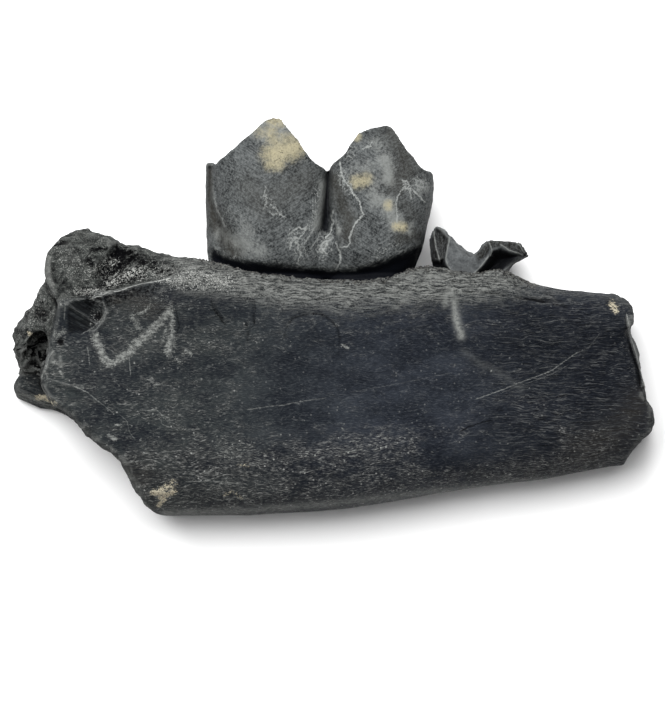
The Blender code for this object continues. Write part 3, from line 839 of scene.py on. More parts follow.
@dataclass(frozen=True)
class EnamelFinish:
    """Fossil enamel: mottled grey, finely lined, with soft cream stains and pale crinkled veins; painted
    shade in the undercut neck and in crevices, and painted highlights on crests.
    """

    grey: Colour = (0.0060, 0.0070, 0.0078)
    grey_light: Colour = (0.104, 0.111, 0.111)
    brown: Colour = (0.0235, 0.0225, 0.0195)
    pitch: Colour = (0.0026, 0.0031, 0.0046)
    cream: Colour = (0.250, 0.226, 0.150)
    pale: Colour = (0.165, 0.172, 0.165)
    vein: Colour = (0.230, 0.240, 0.232)
    line_slope: float = 0.6
    lobe_axes: tuple[float, float] = (-7.7, 5.5)

    def chevrons(self, shader: Shader, at: Places) -> Socket:
        """Places sheared so that noise runs in shallow chevrons down each lobe."""
        hind, fore = ((at.x - axis).size() for axis in self.lobe_axes)
        drop = hind.at_most(fore) * self.line_slope
        return shader.node("CombineXYZ", {}, {0: at.x, 1: at.y - drop, 2: at.z})

    def material(self) -> Material:
        """Builds the finish from the marks that the molar keeps on its mesh."""
        shader = Shader("fossil_enamel")
        at = Places(shader)
        mark = shader.attributes("crevice", "crest", "under", "brown", "cream", "pale", "net")
        lines = shader.noise(self.chevrons(shader, at), (1.5, 0.15, 0.4), 4, 0.7)
        clouds = at.noise((2.4, 3.2, 2.4), 5, 0.7)
        grit = at.noise((0.24, 0.3, 0.25), 3, 0.75)
        chips = at.noise(0.42, 4, 0.75)
        crinkled = shader.vector("ADD", at.full, shader.scaled(at.stray(1.6, 4.0, 0.7), 1.1))

        tone = lines.between(0.42, 0.58) * 0.32 + clouds.between(0.38, 0.62) * 0.28
        tone = tone + grit.between(0.44, 0.58) * 0.4
        paint = Paint(shader, shader.blend(tone, self.grey, self.grey_light))
        paint.cover(mark.brown * (0.75 + 0.25 * grit.between(0.6, 0.4)), self.brown)
        # Painted highlight on the crests.
        paint.cover(mark.crest * 0.35, self.pale)
        pale = speckled(mark.pale, clouds * 0.5 + chips * 0.3 + grit * 0.2, 3.6, 0.5)
        paint.cover(pale * 0.7, self.pale)
        cream = speckled(mark.cream, clouds * 0.45 + chips * 0.3 + grit * 0.25, 3.2, 0.6)
        paint.cover(cream * (0.84 + 0.16 * grit.between(0.4, 0.55)), self.cream)
        specks = chips.between(0.56, 0.64) * cream
        paint.cover(specks * 0.75, self.brown)
        net = shader.cells(crinkled, 0.62, "DISTANCE_TO_EDGE")
        net_line = net.between(0.11, 0.03) * speckled(mark.net, chips, 1.8, 0.16) * grit.between(0.38, 0.5)
        wander = (chips - 0.5) * 0.7 + (grit - 0.5) * 0.3
        veins = shader.line("vein", 0.24, wander) * (0.55 + 0.45 * grit.between(0.36, 0.5))
        veins = veins.at_least(net_line * 0.75)
        paint.cover(veins, self.vein)
        # Painted shade, near black, in the undercut neck under the crown's bulge.
        under = (mark.under + (lines - 0.5) * 1.2 + (clouds - 0.5) * 0.6).between(0.12, 0.85)
        under = under * mark.under.between(0.0, 0.3)
        crumbs = mark.under.between(0.02, 0.3) * mark.under.between(0.8, 0.4) * chips.between(0.5, 0.6)
        paint.cover(under, self.pitch)
        paint.cover(crumbs * 0.6, self.pale)
        # Painted shade in the hollows and creases.
        paint.cover(mark.crevice * 0.92, self.pitch)

        rough = 0.5 + 0.14 * clouds + 0.2 * veins
        height = lines * 0.5 + grit * 0.4 + clouds * 0.25 + veins * 0.3
        return shader.finish(paint.colour, rough, height, 0.12, Specular_IOR_Level=0.04)


@dataclass(frozen=True)
class StumpFinish:
    """The broken tooth: grey dentine in the dished wall, brown on the old break, painted shade near black in
    the undercut and the slot, painted shadow on the dished hind face, painted shade in crevices and painted
    highlights on crests.
    """

    grey: Colour = (0.040, 0.043, 0.045)
    grey_light: Colour = (0.104, 0.110, 0.112)
    brown: Colour = (0.0085, 0.0082, 0.0072)
    pitch: Colour = (0.0026, 0.0029, 0.0040)
    pale: Colour = (0.150, 0.156, 0.150)

    def material(self) -> Material:
        """Builds the finish from the marks that the stump keeps on its mesh."""
        shader = Shader("fossil_dentine")
        at = Places(shader)
        mark = shader.attributes("crevice", "crest", "shade", "brown")
        clouds = at.noise(1.3, 4, 0.65)
        grit = at.noise(0.22, 3, 0.75)
        lines = at.noise((0.2, 1.6, 0.6), 3, 0.6)
        tone = clouds.between(0.34, 0.66) * 0.5 + grit.between(0.32, 0.68) * 0.5
        paint = Paint(shader, shader.blend(tone, self.grey, self.grey_light))
        brown = shader.blend(grit.between(0.42, 0.66) * 0.35, self.brown, self.grey_light)
        # Brown on the old break; on the dished hind face the same darkening is painted shadow cast by the
        # wall in front of it.
        paint.cover(mark.brown * (0.75 + 0.25 * lines.between(0.6, 0.4)), brown)
        # Painted highlight on the crests.
        paint.cover(mark.crest * 0.22, self.pale)
        # Painted shade, near black, in the undercut wing and the slot.
        paint.cover(mark.shade * (0.9 + 0.1 * grit), self.pitch)
        # Painted shade in the hollows and creases.
        paint.cover(mark.crevice * 0.7, self.pitch)
        edges = shader.line("edge", 0.2, (clouds - 0.5) * 0.25) * (0.5 + 0.5 * grit.between(0.36, 0.56))
        paint.cover(edges, self.pale)
        height = lines * 0.3 + grit * 0.5
        return shader.finish(paint.colour, 0.5 + 0.15 * clouds, height, 0.1, Specular_IOR_Level=0.05)


@dataclass(frozen=True)
class CrumbFinish:
    """Dry crumbs of bone and sediment."""

    dark: Colour = (0.012, 0.012, 0.013)
    light: Colour = (0.100, 0.100, 0.092)

    def material(self) -> Material:
        """Builds the finish."""
        shader = Shader("dry_crumbs")
        at = Places(shader)
        tone = at.noise(0.45, 3).between(0.36, 0.68)
        grit = at.noise(0.12, 2)
        colour = shader.blend(tone, self.dark, self.light)
        return shader.finish(colour, 0.65 + 0.2 * grit, grit, 0.05, Specular_IOR_Level=0.1)


# ---- bone


@dataclass
class JawBone:
    """The jaw bone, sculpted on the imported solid.

    Args:
        coarser: How much larger its skin's faces are than usual.
        voxel: Their usual size.
    """

    coarser: float = 1.0
    voxel: float = 0.22
    most_triangles: int = 196000
    wall_top: Outline = (
        (-33.5, 1.3), (-31, 2), (-28, 2.4), (-25.4, 2.9), (-22.8, 3.6), (-19.5, 4.3), (-17, 5.3),
        (-14.7, 6.8),
    )
    plate_edge: Outline = (
        (-7.4, -33.5), (-5.8, -33.2), (-3.2, -32.6), (-0.3, -31.9), (1.6, -31.6), (4.2, -32.7),
        (5.2, -33.2),
    )
    rim_line: Outline = (
        (-38.5, 9.2), (-33.1, 9.8), (-28.5, 10.3), (-26.1, 9.3), (-20.9, 7.5), (-15.7, 6.8), (-12.4, 6.3),
        (-6.1, 5), (-1.4, 4.5), (3.2, 4.4), (6.6, 4.8), (9.2, 5.9), (12.4, 5.9), (15.8, 5.4), (19.3, 5.8),
        (22.8, 4.1), (26.2, 3.4), (32.2, 2.8), (38.5, 1.3),
    )
    hind_break: Outline = (
        (-33.4, -7.2), (-32.7, -9.1), (-31.1, -10.3), (-29.9, -11), (-28.9, -12.3), (-27.9, -13.2),
        (-26.7, -14.4), (-25.5, -15.1), (-24, -16.3), (-23.6, -17.5), (-22.8, -18.9), (-22, -20),
        (-21.7, -21.2), (-20.7, -21.8),
    )
    front_break: Outline = (
        (32.3, 3), (33.8, 2.2), (34.6, 1.3), (34.9, 0.1), (34.4, -0.3), (34.7, -2.1), (35.4, -4.2),
        (36, -6), (36.2, -7.6), (36, -8.6), (36.4, -9.5), (36.9, -10.7), (36.8, -12.8), (36.1, -13.5),
        (35.5, -13.7), (35, -14.7), (34.2, -15.8), (33.9, -16.9),
    )
    front_strip: Outline = ((-8.1, 35.7), (-5.8, 35.4), (-4.2, 34.8), (-1.9, 34.1), (0.2, 33.8), (0.7, 33.7))
    front_shift: Outline = (
        (-10.5, 0), (-9.4, -0.3), (-8.6, 0.15), (-7.8, 0.6), (-6, 0.6), (-4.2, 0.38), (-2, 0.15), (0, 0),
    )
    rim_foot: Outline = (
        (-20, 3.6), (-18.7, 3.3), (-16.4, 2.2), (-13.5, 2.2), (-9.5, 1.3), (-4.8, 0.5), (0.9, 0.2),
        (7.8, 0.6), (14.8, 1), (24, 2), (31, 2.4),
    )
    ventral_top: Outline = ((-26, -15.5), (0, -14), (12, -13.2), (34, -12.4))
    facet: Outline = (
        (-30.3, 1.8), (-29.5, 2.2), (-27.9, 2.1), (-27, 1.5), (-26.4, 0.7), (-26.6, -0.1), (-27.3, -1),
        (-28.6, -1.7), (-30.3, -1.7), (-30.5, 0),
    )
    facet_split: Outline = ((-30.3, 1.7), (-29, 0.8), (-27.9, 0.1), (-27.1, -0.5))
    void: Outline = (
        (-35.5, -3), (-34.1, -2.7), (-32.8, -2), (-32.6, -3.8), (-33.1, -5.7), (-33.9, -6.6), (-34.8, -6.1),
        (-35.5, -4.3),
    )
    slab: Outline = (
        (-33.3, -6.8), (-32.5, -7.2), (-30.7, -7.4), (-28.5, -8.2), (-27.1, -9), (-25.8, -9.9),
        (-24, -11.4), (-22.5, -14), (-23.8, -16), (-27.5, -13.6), (-31, -10.4), (-33.2, -8.2),
    )
    pits: Sequence[tuple[float, float]] = ((-26.8, 0.2), (-31.2, -2.7))
    valley: Outline = (
        (-24.6, 8.2), (-23.2, 7.9), (-23.1, 6.4), (-24.7, 5.4), (-26.1, 4.6), (-26.7, 5.2), (-25.9, 6.6),
    )
    root_lines: Sequence[Outline] = (
        ((-5.3, -1.9), (-5.1, -0.7), (-4.5, 0), (-3.7, 0.3), (-2.3, 0.6), (-1.2, 0.5), (-0.2, -0.1),
         (0.5, -0.9), (0.9, -2.1)),
        ((-13.6, 1.8), (-13.5, 1), (-12.9, 0.1), (-12.3, -0.6)),
        ((-9, 1.8), (-8.9, 0.8), (-9, 0.1), (-8.8, -0.6)),
        ((-9.9, -0.7), (-9.6, -1.5), (-9.8, -2.4)),
    )
    plate_foot: Outline = ((-36.5, -9), (-34.8, -9.2), (-33.1, -9.8), (-31.6, -10.4), (-30.2, -11))
    cracks: Sequence[Outline] = (
        ((14.9, -12.8), (15.7, -12.4), (16.5, -12.2), (17.5, -11.8), (18.1, -11.8)),
        ((12, 4.6), (15, 4.2), (19, 4.3), (22.5, 3.2)),
        ((13.5, 3.2), (17.5, 3), (23, 2.2), (27, 1.4)),
        ((20, 4.6), (22, 3.6), (25.5, 2.7)),
    )
    ridges: Films = (
        Film([(-26.2, 1.9), (-25.8, 0.8), (-26.1, -0.1), (-26.7, -0.9), (-27.4, -1.6)], 0.22, 0.18),
        Film([(-33.3, -6.8), (-30.7, -7.4), (-28.5, -8.2)], 0.22, 0.07),
        Film([(-32.5, 7), (-32.6, 5.9), (-32.4, 4)], 0.35, 0.3),
        Film([(-32, -3.8), (-32.5, -4.5), (-32.7, -5.4), (-33.3, -6.6), (-33.5, -7.4),
              (-33.1, -8.2)], 0.22, 0.2),
        Film([(-25.2, 2.3), (-24.4, 2.1)], 0.5, 0.22),
        Film([(-20.9, -19.8), (-20.2, -19.9), (-18.5, -19.8)], 0.36, 0.2),
    )
    scratches_and_strip_highlight: Lines = (
        Line([(-27.5, 2.3), (-27, 2.5), (-26.4, 2.6), (-25.8, 3)], 1.8),
        Line([(-25.5, 3.2), (-24.7, 3.1), (-24, 3.3), (-23.3, 3.6), (-21.9, 4), (-19.5, 4.4)], 1.8),
        Line([(-32, -3.8), (-32.5, -4.5), (-32.7, -5.4), (-33.3, -6.6), (-33.5, -7.4), (-33.1, -8.2),
              (-32.7, -8.8)], 0.5),
        Line([(-32.9, -6.1), (-32.6, -6.8), (-31.4, -7.2), (-30.2, -7.5)], 0.3),
        Line([(-29.6, -7.7), (-28.1, -8.4), (-27.1, -9.2), (-26.6, -9.6)], 0.55),
        Line([(-26.2, -9.9), (-25.2, -10.7)], 0.2),
        Line([(-28.6, -1.7), (-27.4, -1), (-26.6, -0.2), (-26.1, 0.5), (-25.9, 1.3), (-26.2, 1.8)], 0.4),
        Line([(-27.6, -1.5), (-27, -1.2), (-26.5, -0.5)], 0.35),
        # Not a scratch: a painted highlight along the edge of the standing front strip.
        Line([(33.85, 0.3), (34.3, -1.9), (35, -4.2), (35.6, -5.9), (35.9, -7.8)], 3.2),
        Line([(-30.7, 2.2), (-30.6, 1.3), (-30.7, 0.1)], 0.35),
        Line([(-36.2, -8.3), (-35.4, -8.8), (-34.2, -9.2), (-32.5, -9.8)], 0.4),
        Line([(-35.9, -9), (-34.4, -9.6), (-32.8, -10.2), (-31.4, -10.6)], 0.3),
        Line([(-23.3, -4), (-23.2, -5), (-23.1, -6.3)], 0.5),
        Line([(-28, -3.4), (-27.9, -4.3), (-27.8, -5.1)], 0.45),
        Line([(-21.3, -6.9), (-20.1, -7.4)], 0.5),
        Line([(-20, -7.55), (-18.4, -7.7)], 0.42),
        Line([(-21.4, -3.6), (-19.8, -3.9)], 0.2),
        Line([(-24.4, -9.8), (-22.5, -9.8)], 0.3),
        Line([(-24.7, -10.7), (-23.5, -11.7), (-23.2, -13), (-22.7, -13.7)], 0.25),
        Line([(-21, -10.5), (-20.1, -10.4), (-19.4, -11.1), (-18.7, -11.3)], 0.4),
        Line([(-19.6, -11.5), (-19.5, -12.1), (-18.4, -12.5)], 0.32),
        Line([(-9.5, -10.4), (-7.1, -10), (-5.6, -9.9), (-3.7, -9.5), (-0.9, -9.1)], 0.36),
        Line([(2.3, -8.4), (7.8, -7.4), (13.6, -6.2)], 0.12),
        Line([(16.7, -9.15), (19.4, -8.2), (21.3, -7.4), (23.6, -6.6), (25.2, -5.95), (26.5, -5),
              (28.1, -3.9)], 0.5),
        Line([(28.1, -3.9), (29.4, -3.4), (30.6, -1.8)], 0.16),
        Line([(-16.4, -18.7), (-14.1, -18.6), (-12, -18.8), (-10, -19)], 0.5),
        Line([(-17.8, -17.6), (-15.4, -17.9), (-13.8, -18.6)], 0.34),
        Line([(-23.9, -16.5), (-22.1, -16.3), (-20.7, -16.1), (-19.6, -16.6)], 0.42),
        Line([(-19.8, -15.3), (-16.9, -15.1), (-15.2, -15.7)], 0.25),
        Line([(-10, -21.2), (-7.7, -21.6), (-5.4, -21.8)], 0.3),
        Line([(-1.4, -16), (0.3, -15.3), (2.3, -15.2), (3.2, -15.1)], 0.4),
        Line([(-14.6, -20.3), (-12.7, -20.9), (-11.2, -20.5), (-9.8, -20.8)], 0.36),
        Line([(-18.1, -21.2), (-16.6, -20.9), (-15.2, -21.2)], 0.34),
        Line([(-12.3, -15.8), (-12.2, -15.1), (-11.8, -14.9), (-11.3, -15.5), (-10.8, -16)], 0.32),
    )
    twins: Lines = (
        Line([(19.6, -8.45), (21.5, -7.7), (23.8, -6.9), (25.4, -6.25), (26.9, -5.4)], 0.26),
    )
    # Cracks and dark seams, with painted shade along the root grooves and in the gap behind the front strip.
    dark_lines: Lines = (
        Line([(14.9, -12.8), (15.7, -12.4), (16.2, -12.3), (16.6, -12.1), (17.5, -11.8), (18.3, -11.7)], 0.7),
        Line([(-5.6, -2.4), (-5.3, -1.4), (-5, -0.5), (-4.3, 0.1), (-3.6, 0.3), (-2.3, 0.6), (-1.2, 0.5),
              (-0.2, -0.1), (0.6, -1), (0.9, -2.4), (0.8, -4)], 0.2),
        Line([(-8.9, 2), (-8.8, 0.9), (-9, 0.1), (-8.9, -0.7), (-9.6, -1.5), (-9.7, -2.6)], 0.26),
        Line([(-13.8, 2), (-13.6, 1), (-12.9, 0.2), (-12.5, -0.5)], 0.4),
        Line([(-13.9, 0.9), (-13.1, 0.9), (-12.6, 0.3)], 0.35),
        # Painted shade in the gap behind the standing front strip.
        Line([(33.6, 0.1), (33.9, -1.9), (34.6, -4.2), (35.2, -5.8), (35.5, -8)], 0.7),
        Line([(-33, -4.4), (-33, -5.3), (-33.6, -6.5), (-33.8, -7.4), (-33.4, -8.4)], 0.7),
        Line([(-30.4, 2.4), (-29.2, 2.5), (-27.7, 2.3), (-26.6, 1.4), (-26.3, 0.3)], 0.7),
        Line([(-36, -8), (-34.6, -8.6), (-32.7, -9.4)], 0.6),
        Line([(-35, -9.4), (-33.2, -10.1), (-31.8, -10.7)], 0.6),
        Line([(-19.9, 0.6), (-18.9, 1.4), (-17.9, 0.9), (-17.5, -0.8), (-17.8, -2)], 0.5),
        Line([(-28.2, 7.2), (-27.6, 7.9), (-26.9, 8.1), (-26, 8)], 0.9),
        Line([(-28.3, 6.3), (-27.7, 6.9), (-27.2, 7.1)], 0.8),
    )
    chalk: Films = (
        Film([(-27.1, -2.1), (-26.7, -3.1), (-26.3, -4.2), (-25.6, -5.1)], 0.52, 0.92),
        Film([(-25.6, -5.2), (-24.4, -4.7), (-23.3, -3.8), (-22.4, -2.9)], 0.5, 0.86),
        Film([(-22.4, -2.9), (-21.6, -2.2), (-20.6, -1.3), (-19.8, -0.4), (-19, 0.3),
              (-18.6, 0.9)], 0.52, 0.84),
        Film([(-18.4, 0.8), (-18.3, -0.7), (-18.4, -2.1)], 0.32, 0.8),
        Film([(-18.4, -2.1), (-18.6, -3), (-18.7, -3.8)], 0.55, 0.85),
        Film([(-19, -0.9), (-19.3, -2.4)], 0.26, 0.6),
        Film([(-22.8, 0.2), (-22.5, -0.5), (-22.1, -1)], 0.42, 0.62),
        Film([(-22, 0.6), (-21.1, 1.1)], 0.35, 0.55),
        Film([(-16.7, -3.6), (-16.3, -4)], 0.34, 0.7),
        Film([(-17.9, -4.6), (-17.3, -5)], 0.26, 0.5),
        Film([(-31.9, -1.5), (-31.6, -2.1), (-31.1, -1.7), (-30.7, -1.4)], 0.3, 0.6),
        Film([(-31.9, -4.9), (-31.5, -5.2)], 0.14, 1.4),
        Film([(-31.2, -6), (-30.8, -6.6)], 0.13, 1.4),
        Film([(-25.6, -13.4), (-24.9, -13.8)], 0.2, 1.5),
        Film([(-24.9, -12.1), (-24.2, -12.2)], 0.12, 1.2),
        Film([(1.2, -3), (1.9, -3.4)], 0.13, 1.3),
        *(Film([(x, y)], width, 1.6) for x, y, width in (
            (-27.5, 2.3, 0.16), (-27.7, -0.6, 0.12), (-33.1, 2.2, 0.14), (-31.1, 1.7, 0.1),
            (-32.6, -0.1, 0.1), (-35.7, -0.5, 0.1), (-32.7, -2.9, 0.25), (-23.6, 4.3, 0.12),
            (-21.9, -13.8, 0.14), (-17.8, -13.6, 0.09), (1.2, -12.7, 0.09), (24, -11.1, 0.1),
            (11.5, -15.3, 0.08), (-24.4, 4.5, 0.13), (-22.6, -5.1, 0.09), (5.6, -1.5, 0.08),
            (-4.8, -2.6, 0.08), (18.2, -6, 0.08),
        )),
    )
    # Pale films: chalky haze, and painted light on the front strip and along the lower edge.
    haze_and_painted_light: Films = (
        # Painted highlight on the edge of the standing front strip.
        Film([(34, -0.2), (34.4, -2), (35.1, -4.2), (35.65, -5.9), (35.9, -7.8)], 0.2, 0.62),
        Film([(14.15, 0.4), (14.4, -0.7), (14.8, -2)], 0.42, 0.95),
        Film([(14, 2.2), (14.1, 0.8)], 0.36, 0.8),
        Film([(12.9, 1.6), (13, 2.7), (13.6, 3.2), (14.1, 2.4)], 0.34, 0.62),
        Film([(15.1, -3.8), (17.1, -5.2), (19.4, -6.3), (21.7, -8)], 0.4, 0.11),
        Film([(-25, -5), (-19, -1.5)], 1.3, 0.05),
        Film([(-31.9, -4), (-32.2, -4.8), (-31.6, -5.1), (-30.9, -5.3)], 0.22, 0.42),
        Film([(-31.2, -4.3), (-31.1, -4.8)], 0.2, 0.5),
        Film([(-32.5, 7), (-32.6, 5.9), (-32.4, 4)], 0.3, 0.26),
        Film([(-30.4, 8), (-30, 7.2), (-29.6, 6.6)], 0.7, 0.16),
        Film([(-26.9, 2), (-26.2, 1.7), (-25.9, 1.2), (-26.1, 0.3)], 0.22, 0.16),
        Film([(-36.2, -5.6), (-35, -5.4), (-34.3, -5.8)], 0.3, 0.35),
        Film([(-36.6, -8.8), (-34.8, -9.2), (-33.1, -9.8), (-31.6, -10.4)], 0.4, 0.22),
        # Painted light bounced up from the white floor along the lower edge, over its fine pale streaks.
        Film([(-19.3, -22.4), (-9.5, -22), (-0.3, -21.3), (10.1, -20.1), (19.4, -19.2),
              (26.3, -18.5)], 0.45, 0.4),
    )
    cream: Films = (
        Film([(-20.6, -19.95), (-19.9, -20.05), (-19.1, -20.15)], 0.36, 0.95),
        Film([(-19.1, -20.15), (-18.1, -19.9)], 0.26, 0.9),
        Film([(-19.5, -19.65), (-18.7, -19.3), (-18.3, -18.9)], 0.5, 0.55),
        Film([(-19.7, -20.6), (-19.3, -20.7), (-19.9, -21.4)], 0.3, 0.72),
        Film([(-34, -9.1), (-33, -9), (-32.5, -9.6), (-31.9, -9.9)], 0.34, 0.95),
        Film([(32, 1.8), (32.6, 1)], 0.42, 0.62),
        Film([(-34.8, -1.7)], 0.3, 0.62),
        Film([(-10.6, -16.8), (-9.7, -16.7)], 0.34, 0.28),
        Film([(-12.2, -20.2), (-11.5, -19.9), (-10.4, -20.6)], 0.3, 0.28),
    )
    browns: Films = (
        Film([(-25.2, 2.3), (-24.4, 2.1)], 0.5, 1),
        Film([(29, -15), (33, -12.5), (35.5, -9.5)], 2.2, 0.5),
        Film([(-23, 2.2), (-20.5, 1.2)], 1.4, 0.6),
        Film([(-24, -17.5), (-21.5, -17.8)], 1.5, 0.5),
    )
    specks: Films = (
        Film([(-25.6, 4.3), (-24, 4.9), (-22.2, 5.4)], 0.8, 0.42),
        Film([(-29.4, 3.1), (-27.8, 3.1), (-26.2, 3.3)], 0.6, 0.36),
        Film([(-21.9, 5), (-19.6, 5.6)], 0.9, 0.3),
        Film([(-19.5, 4.9), (-17.5, 4.6), (-14.5, 4.4), (-12, 4.2)], 1.3, 0.31),
        Film([(-27.8, 5.2), (-26.6, 5.6), (-25.2, 6.6)], 0.9, 0.27),
        Film([(-22.5, 1.2), (-19.5, 2.4)], 1.8, 0.1),
        Film([(-27, 0.2)], 1, 0.2),
        Film([(-34.5, 0), (-34, 2)], 2, 0.14),
        Film([(-31, 7), (-29, 6)], 1.8, 0.15),
    )
    # Painted shade in shadowed pits and dips of the ledge and knob, in the spongy holes and along a root
    # groove.
    painted_shades: Films = (
        Film([(-26, 4), (-24, 4.6), (-22.4, 5)], 0.9, 0.9),
        Film([(-29.4, 2.9), (-27.6, 2.9)], 0.5, 0.7),
        Film([(-27.5, 8), (-26, 8.1)], 0.4, 0.68),
        Film([(-28, 6.7), (-27.6, 6.4)], 0.4, 0.8),
        Film([(-23, 7.4), (-21.8, 6.6), (-20.6, 6.2)], 0.9, 0.7),
        Film([(-31.6, 8.6), (-31, 8.7)], 0.6, 0.7),
        Film([(-13.6, 1.6), (-13.2, 0.6), (-12.6, -0.1)], 0.4, 0.42),
        Film([(-33.4, 0.8), (-33, 0.2)], 0.6, 0.6),
        Film([(-35.2, 0.9), (-34.6, 1.6)], 0.5, 0.5),
        Film([(-36, -1.6), (-35.2, -1.9)], 0.5, 0.5),
    )
    core_span: tuple[float, float] = (-6.4, 5.5)
    front_end: float = 36.8
    underside: float = 7.0
    smooth_rounds: int = 140
    valley_rounds: int = 70
    filler_growth: float = 0.62
    filler_drop: float = 0.3
    upper_side: float = 5.0
    flank: float = 3.0
    root_groove: Cut = Cut(0.11, 0.24)
    crack_groove: Cut = Cut(0.14, 0.18)
    pit_hole: Cut = Cut(0.3, 0.36)
    facet_ridge: Cut = Cut(0.2, 0.25)
    strip_ridge: Cut = Cut(1.7, 0.3)
    strip_groove: Cut = Cut(0.2, 0.16)
    slab_depth: float = 0.06
    obj: Piece = field(init=False)

    def build(self) -> Piece:
        """Makes, sculpts and dresses the bone."""
        bone = copy_of_node("mandible", "jaw_bone")
        fillers = [self.socket_film(node) for node in ("molar", "broken_molar")]
        fuse(bone, fillers, self.voxel * self.coarser)
        skin = Skin(bone)
        self.trim_front(skin)
        self.measure(skin)
        self.even_faces(skin)
        self.measure(skin)
        self.weather(skin)
        self.carve_ledge(skin)
        self.carve_core(skin)
        self.carve_rim(skin)
        self.carve_lines(skin)
        skin.points[:, 2] = np.maximum(skin.points[:, 2], 0)
        skin.refresh()
        self.thin_underside(skin)
        drop_loose_bits(bone)
        self.mark(Skin(bone))
        self.obj = dress(bone, BoneFinish().material())
        return bone

    def thin_underside(self, skin: Skin) -> None:
        """Merges faces underneath, where the bone is plain, until the piece has few enough."""
        bone = skin.obj
        triangles = sum(len(face.vertices) - 2 for face in bone.data.polygons)
        if triangles > self.most_triangles:
            underneath = bone.vertex_groups.new(name="underneath")
            low = (skin.points[:, 2] < self.underside) & (skin.up < 0.1)
            underneath.add([int(k) for k in np.flatnonzero(low)], 1.0, "REPLACE")
            modifier = bone.modifiers.new("Thin out", "DECIMATE")
            modifier.vertex_group = underneath.name
            modifier.ratio = self.most_triangles / triangles
            bake(bone)
            bone.vertex_groups.clear()

    def socket_film(self, node: str) -> Piece:
        """Makes the film of sediment round a packed tooth, cut off just under the socket's rim."""
        skin = Skin(copy_of_node(node, "film"))
        skin.lift(np.full(len(skin.points), self.filler_growth))
        rim = straight(self.rim_line, skin.points[:, 0]) - self.filler_drop
        skin.points[:, 1] = np.minimum(skin.points[:, 1], rim)
        skin.refresh()
        return skin.obj

    def measure(self, skin: Skin) -> None:
        """Works out where each part of the bone lies."""
        x, y, z = skin.points.T
        self.above_wall = y - straight(self.wall_top, x)
        self.ledge = ease(self.above_wall / 0.5) * rise(x, -15.5, -3.5) * (z > 2)
        self.past_plate = straight(self.plate_edge, y) - x
        bottom, top = self.core_span
        self.core = rise(self.past_plate, -0.25, 0.6) * (y > bottom) * (y < top)
        self.below_rim = straight(self.rim_line, x) - y
        breaks = (self.hind_break, self.front_break)
        self.ends = np.min([distance_to_path(skin.flat, edge) for edge in breaks], axis=0)
        self.broken = np.clip(self.core + self.ledge + 0.4 * ease(1 - self.ends / 0.9), 0, 1)
        beside_strip = rise(y, 0.9, -0.6) * rise(y, -8.4, 0.6)
        self.past_strip = x - straight(self.front_strip, y) - 3 * (1 - beside_strip)

    def trim_front(self, skin: Skin) -> None:
        """Moves the front end's skin out to where its thin standing strip ends."""
        x, y = skin.flat.T
        front = straight([(py, px) for px, py in self.front_break[3:9][::-1]], y)
        skin.points[:, 0] += straight(self.front_shift, y) * rise(x - front, -2.5, 2.0)
        skin.refresh()

    def even_faces(self, skin: Skin) -> None:
        """Takes the solid's flat faces out of the smooth stretches of bone."""
        smooth = (1 - self.broken) * rise(self.ends, 0.6, 1.5) * rise(self.below_rim, 0.8, 2.0)
        smooth *= rise(-self.above_wall, 0.2, 1.2) + (skin.points[:, 0] > -14)
        smooth *= rise(self.past_plate, -0.4, -0.8)
        skin.even_out(np.clip(smooth, 0, 1), self.smooth_rounds)
        skin.even_out(np.full(len(skin.points), 0.9), 3)

    def weather(self, skin: Skin) -> None:
        """Low swellings and fine wear all over, and chipped ends."""
        places = skin.points
        height = 0.06 * Field(5.0, 11).smooth(places) + 0.03 * Field((2.4, 1.2, 1.6), 12).layered(places)
        chipped = ease(1 - self.ends / 1.4)
        chips = 0.22 - 0.13 * ease(places[:, 0] / 10)
        uneven = 0.6 * Field(2.6, 14).scallops(places) + 0.5 * Field(1.3, 15).scallops(places)
        height += chipped * (chips * uneven + 0.07 * Field(0.8, 17).layered(places, 3))
        skin.lift(height)

    def carve_ledge(self, skin: Skin) -> None:
        """The broken ledge above the wall: stony facets, a valley that the finish darkens with painted shade,
        pores and a fibrous ridge.
        """
        hole = skin.inside(self.valley, 0.7, 1.0) * self.ledge
        skin.even_out(hole, self.valley_rounds)
        places = skin.points
        x = places[:, 0]
        fibrous = rise(x, -25, 4)
        rock = 0.15 * Field(3.4, 21).scallops(places) + 0.08 * Field(1.4, 24).scallops(places)
        rock += 0.05 * Field(0.7, 25).layered(places, 2)
        turned = places @ np.array([[0.97, 0.24, 0], [-0.24, 0.97, 0], [0, 0, 1]])
        fibres = 0.12 * Field((4.0, 0.5, 1.5), 27).smooth(turned)
        porous = ease(1 - np.abs(self.above_wall - 1.0) / 1.4) * rise(x, -28, 2) * rise(x, -17.0, -1.5)
        height = self.ledge * (rock * (1 - 0.75 * fibrous) + fibres * fibrous)
        height -= self.ledge * porous * 0.3 * Field((0.75, 0.6, 0.7), 31).pores(places)
        height -= hole * (0.35 + 0.4 * Field((0.8, 0.6, 0.7), 33).pores(places, 0.5))
        lip = bell((self.above_wall - 0.05) / 0.2) * rise(x, -17.5, -2.5) * rise(x, -28.5, 1.2)
        height += 0.22 * lip * ease(skin.up / 0.5)
        for pit in self.pits:
            height -= self.pit_hole.depth * skin.beside([pit], self.pit_hole.width) * (places[:, 2] > 6)
        skin.lift(height)

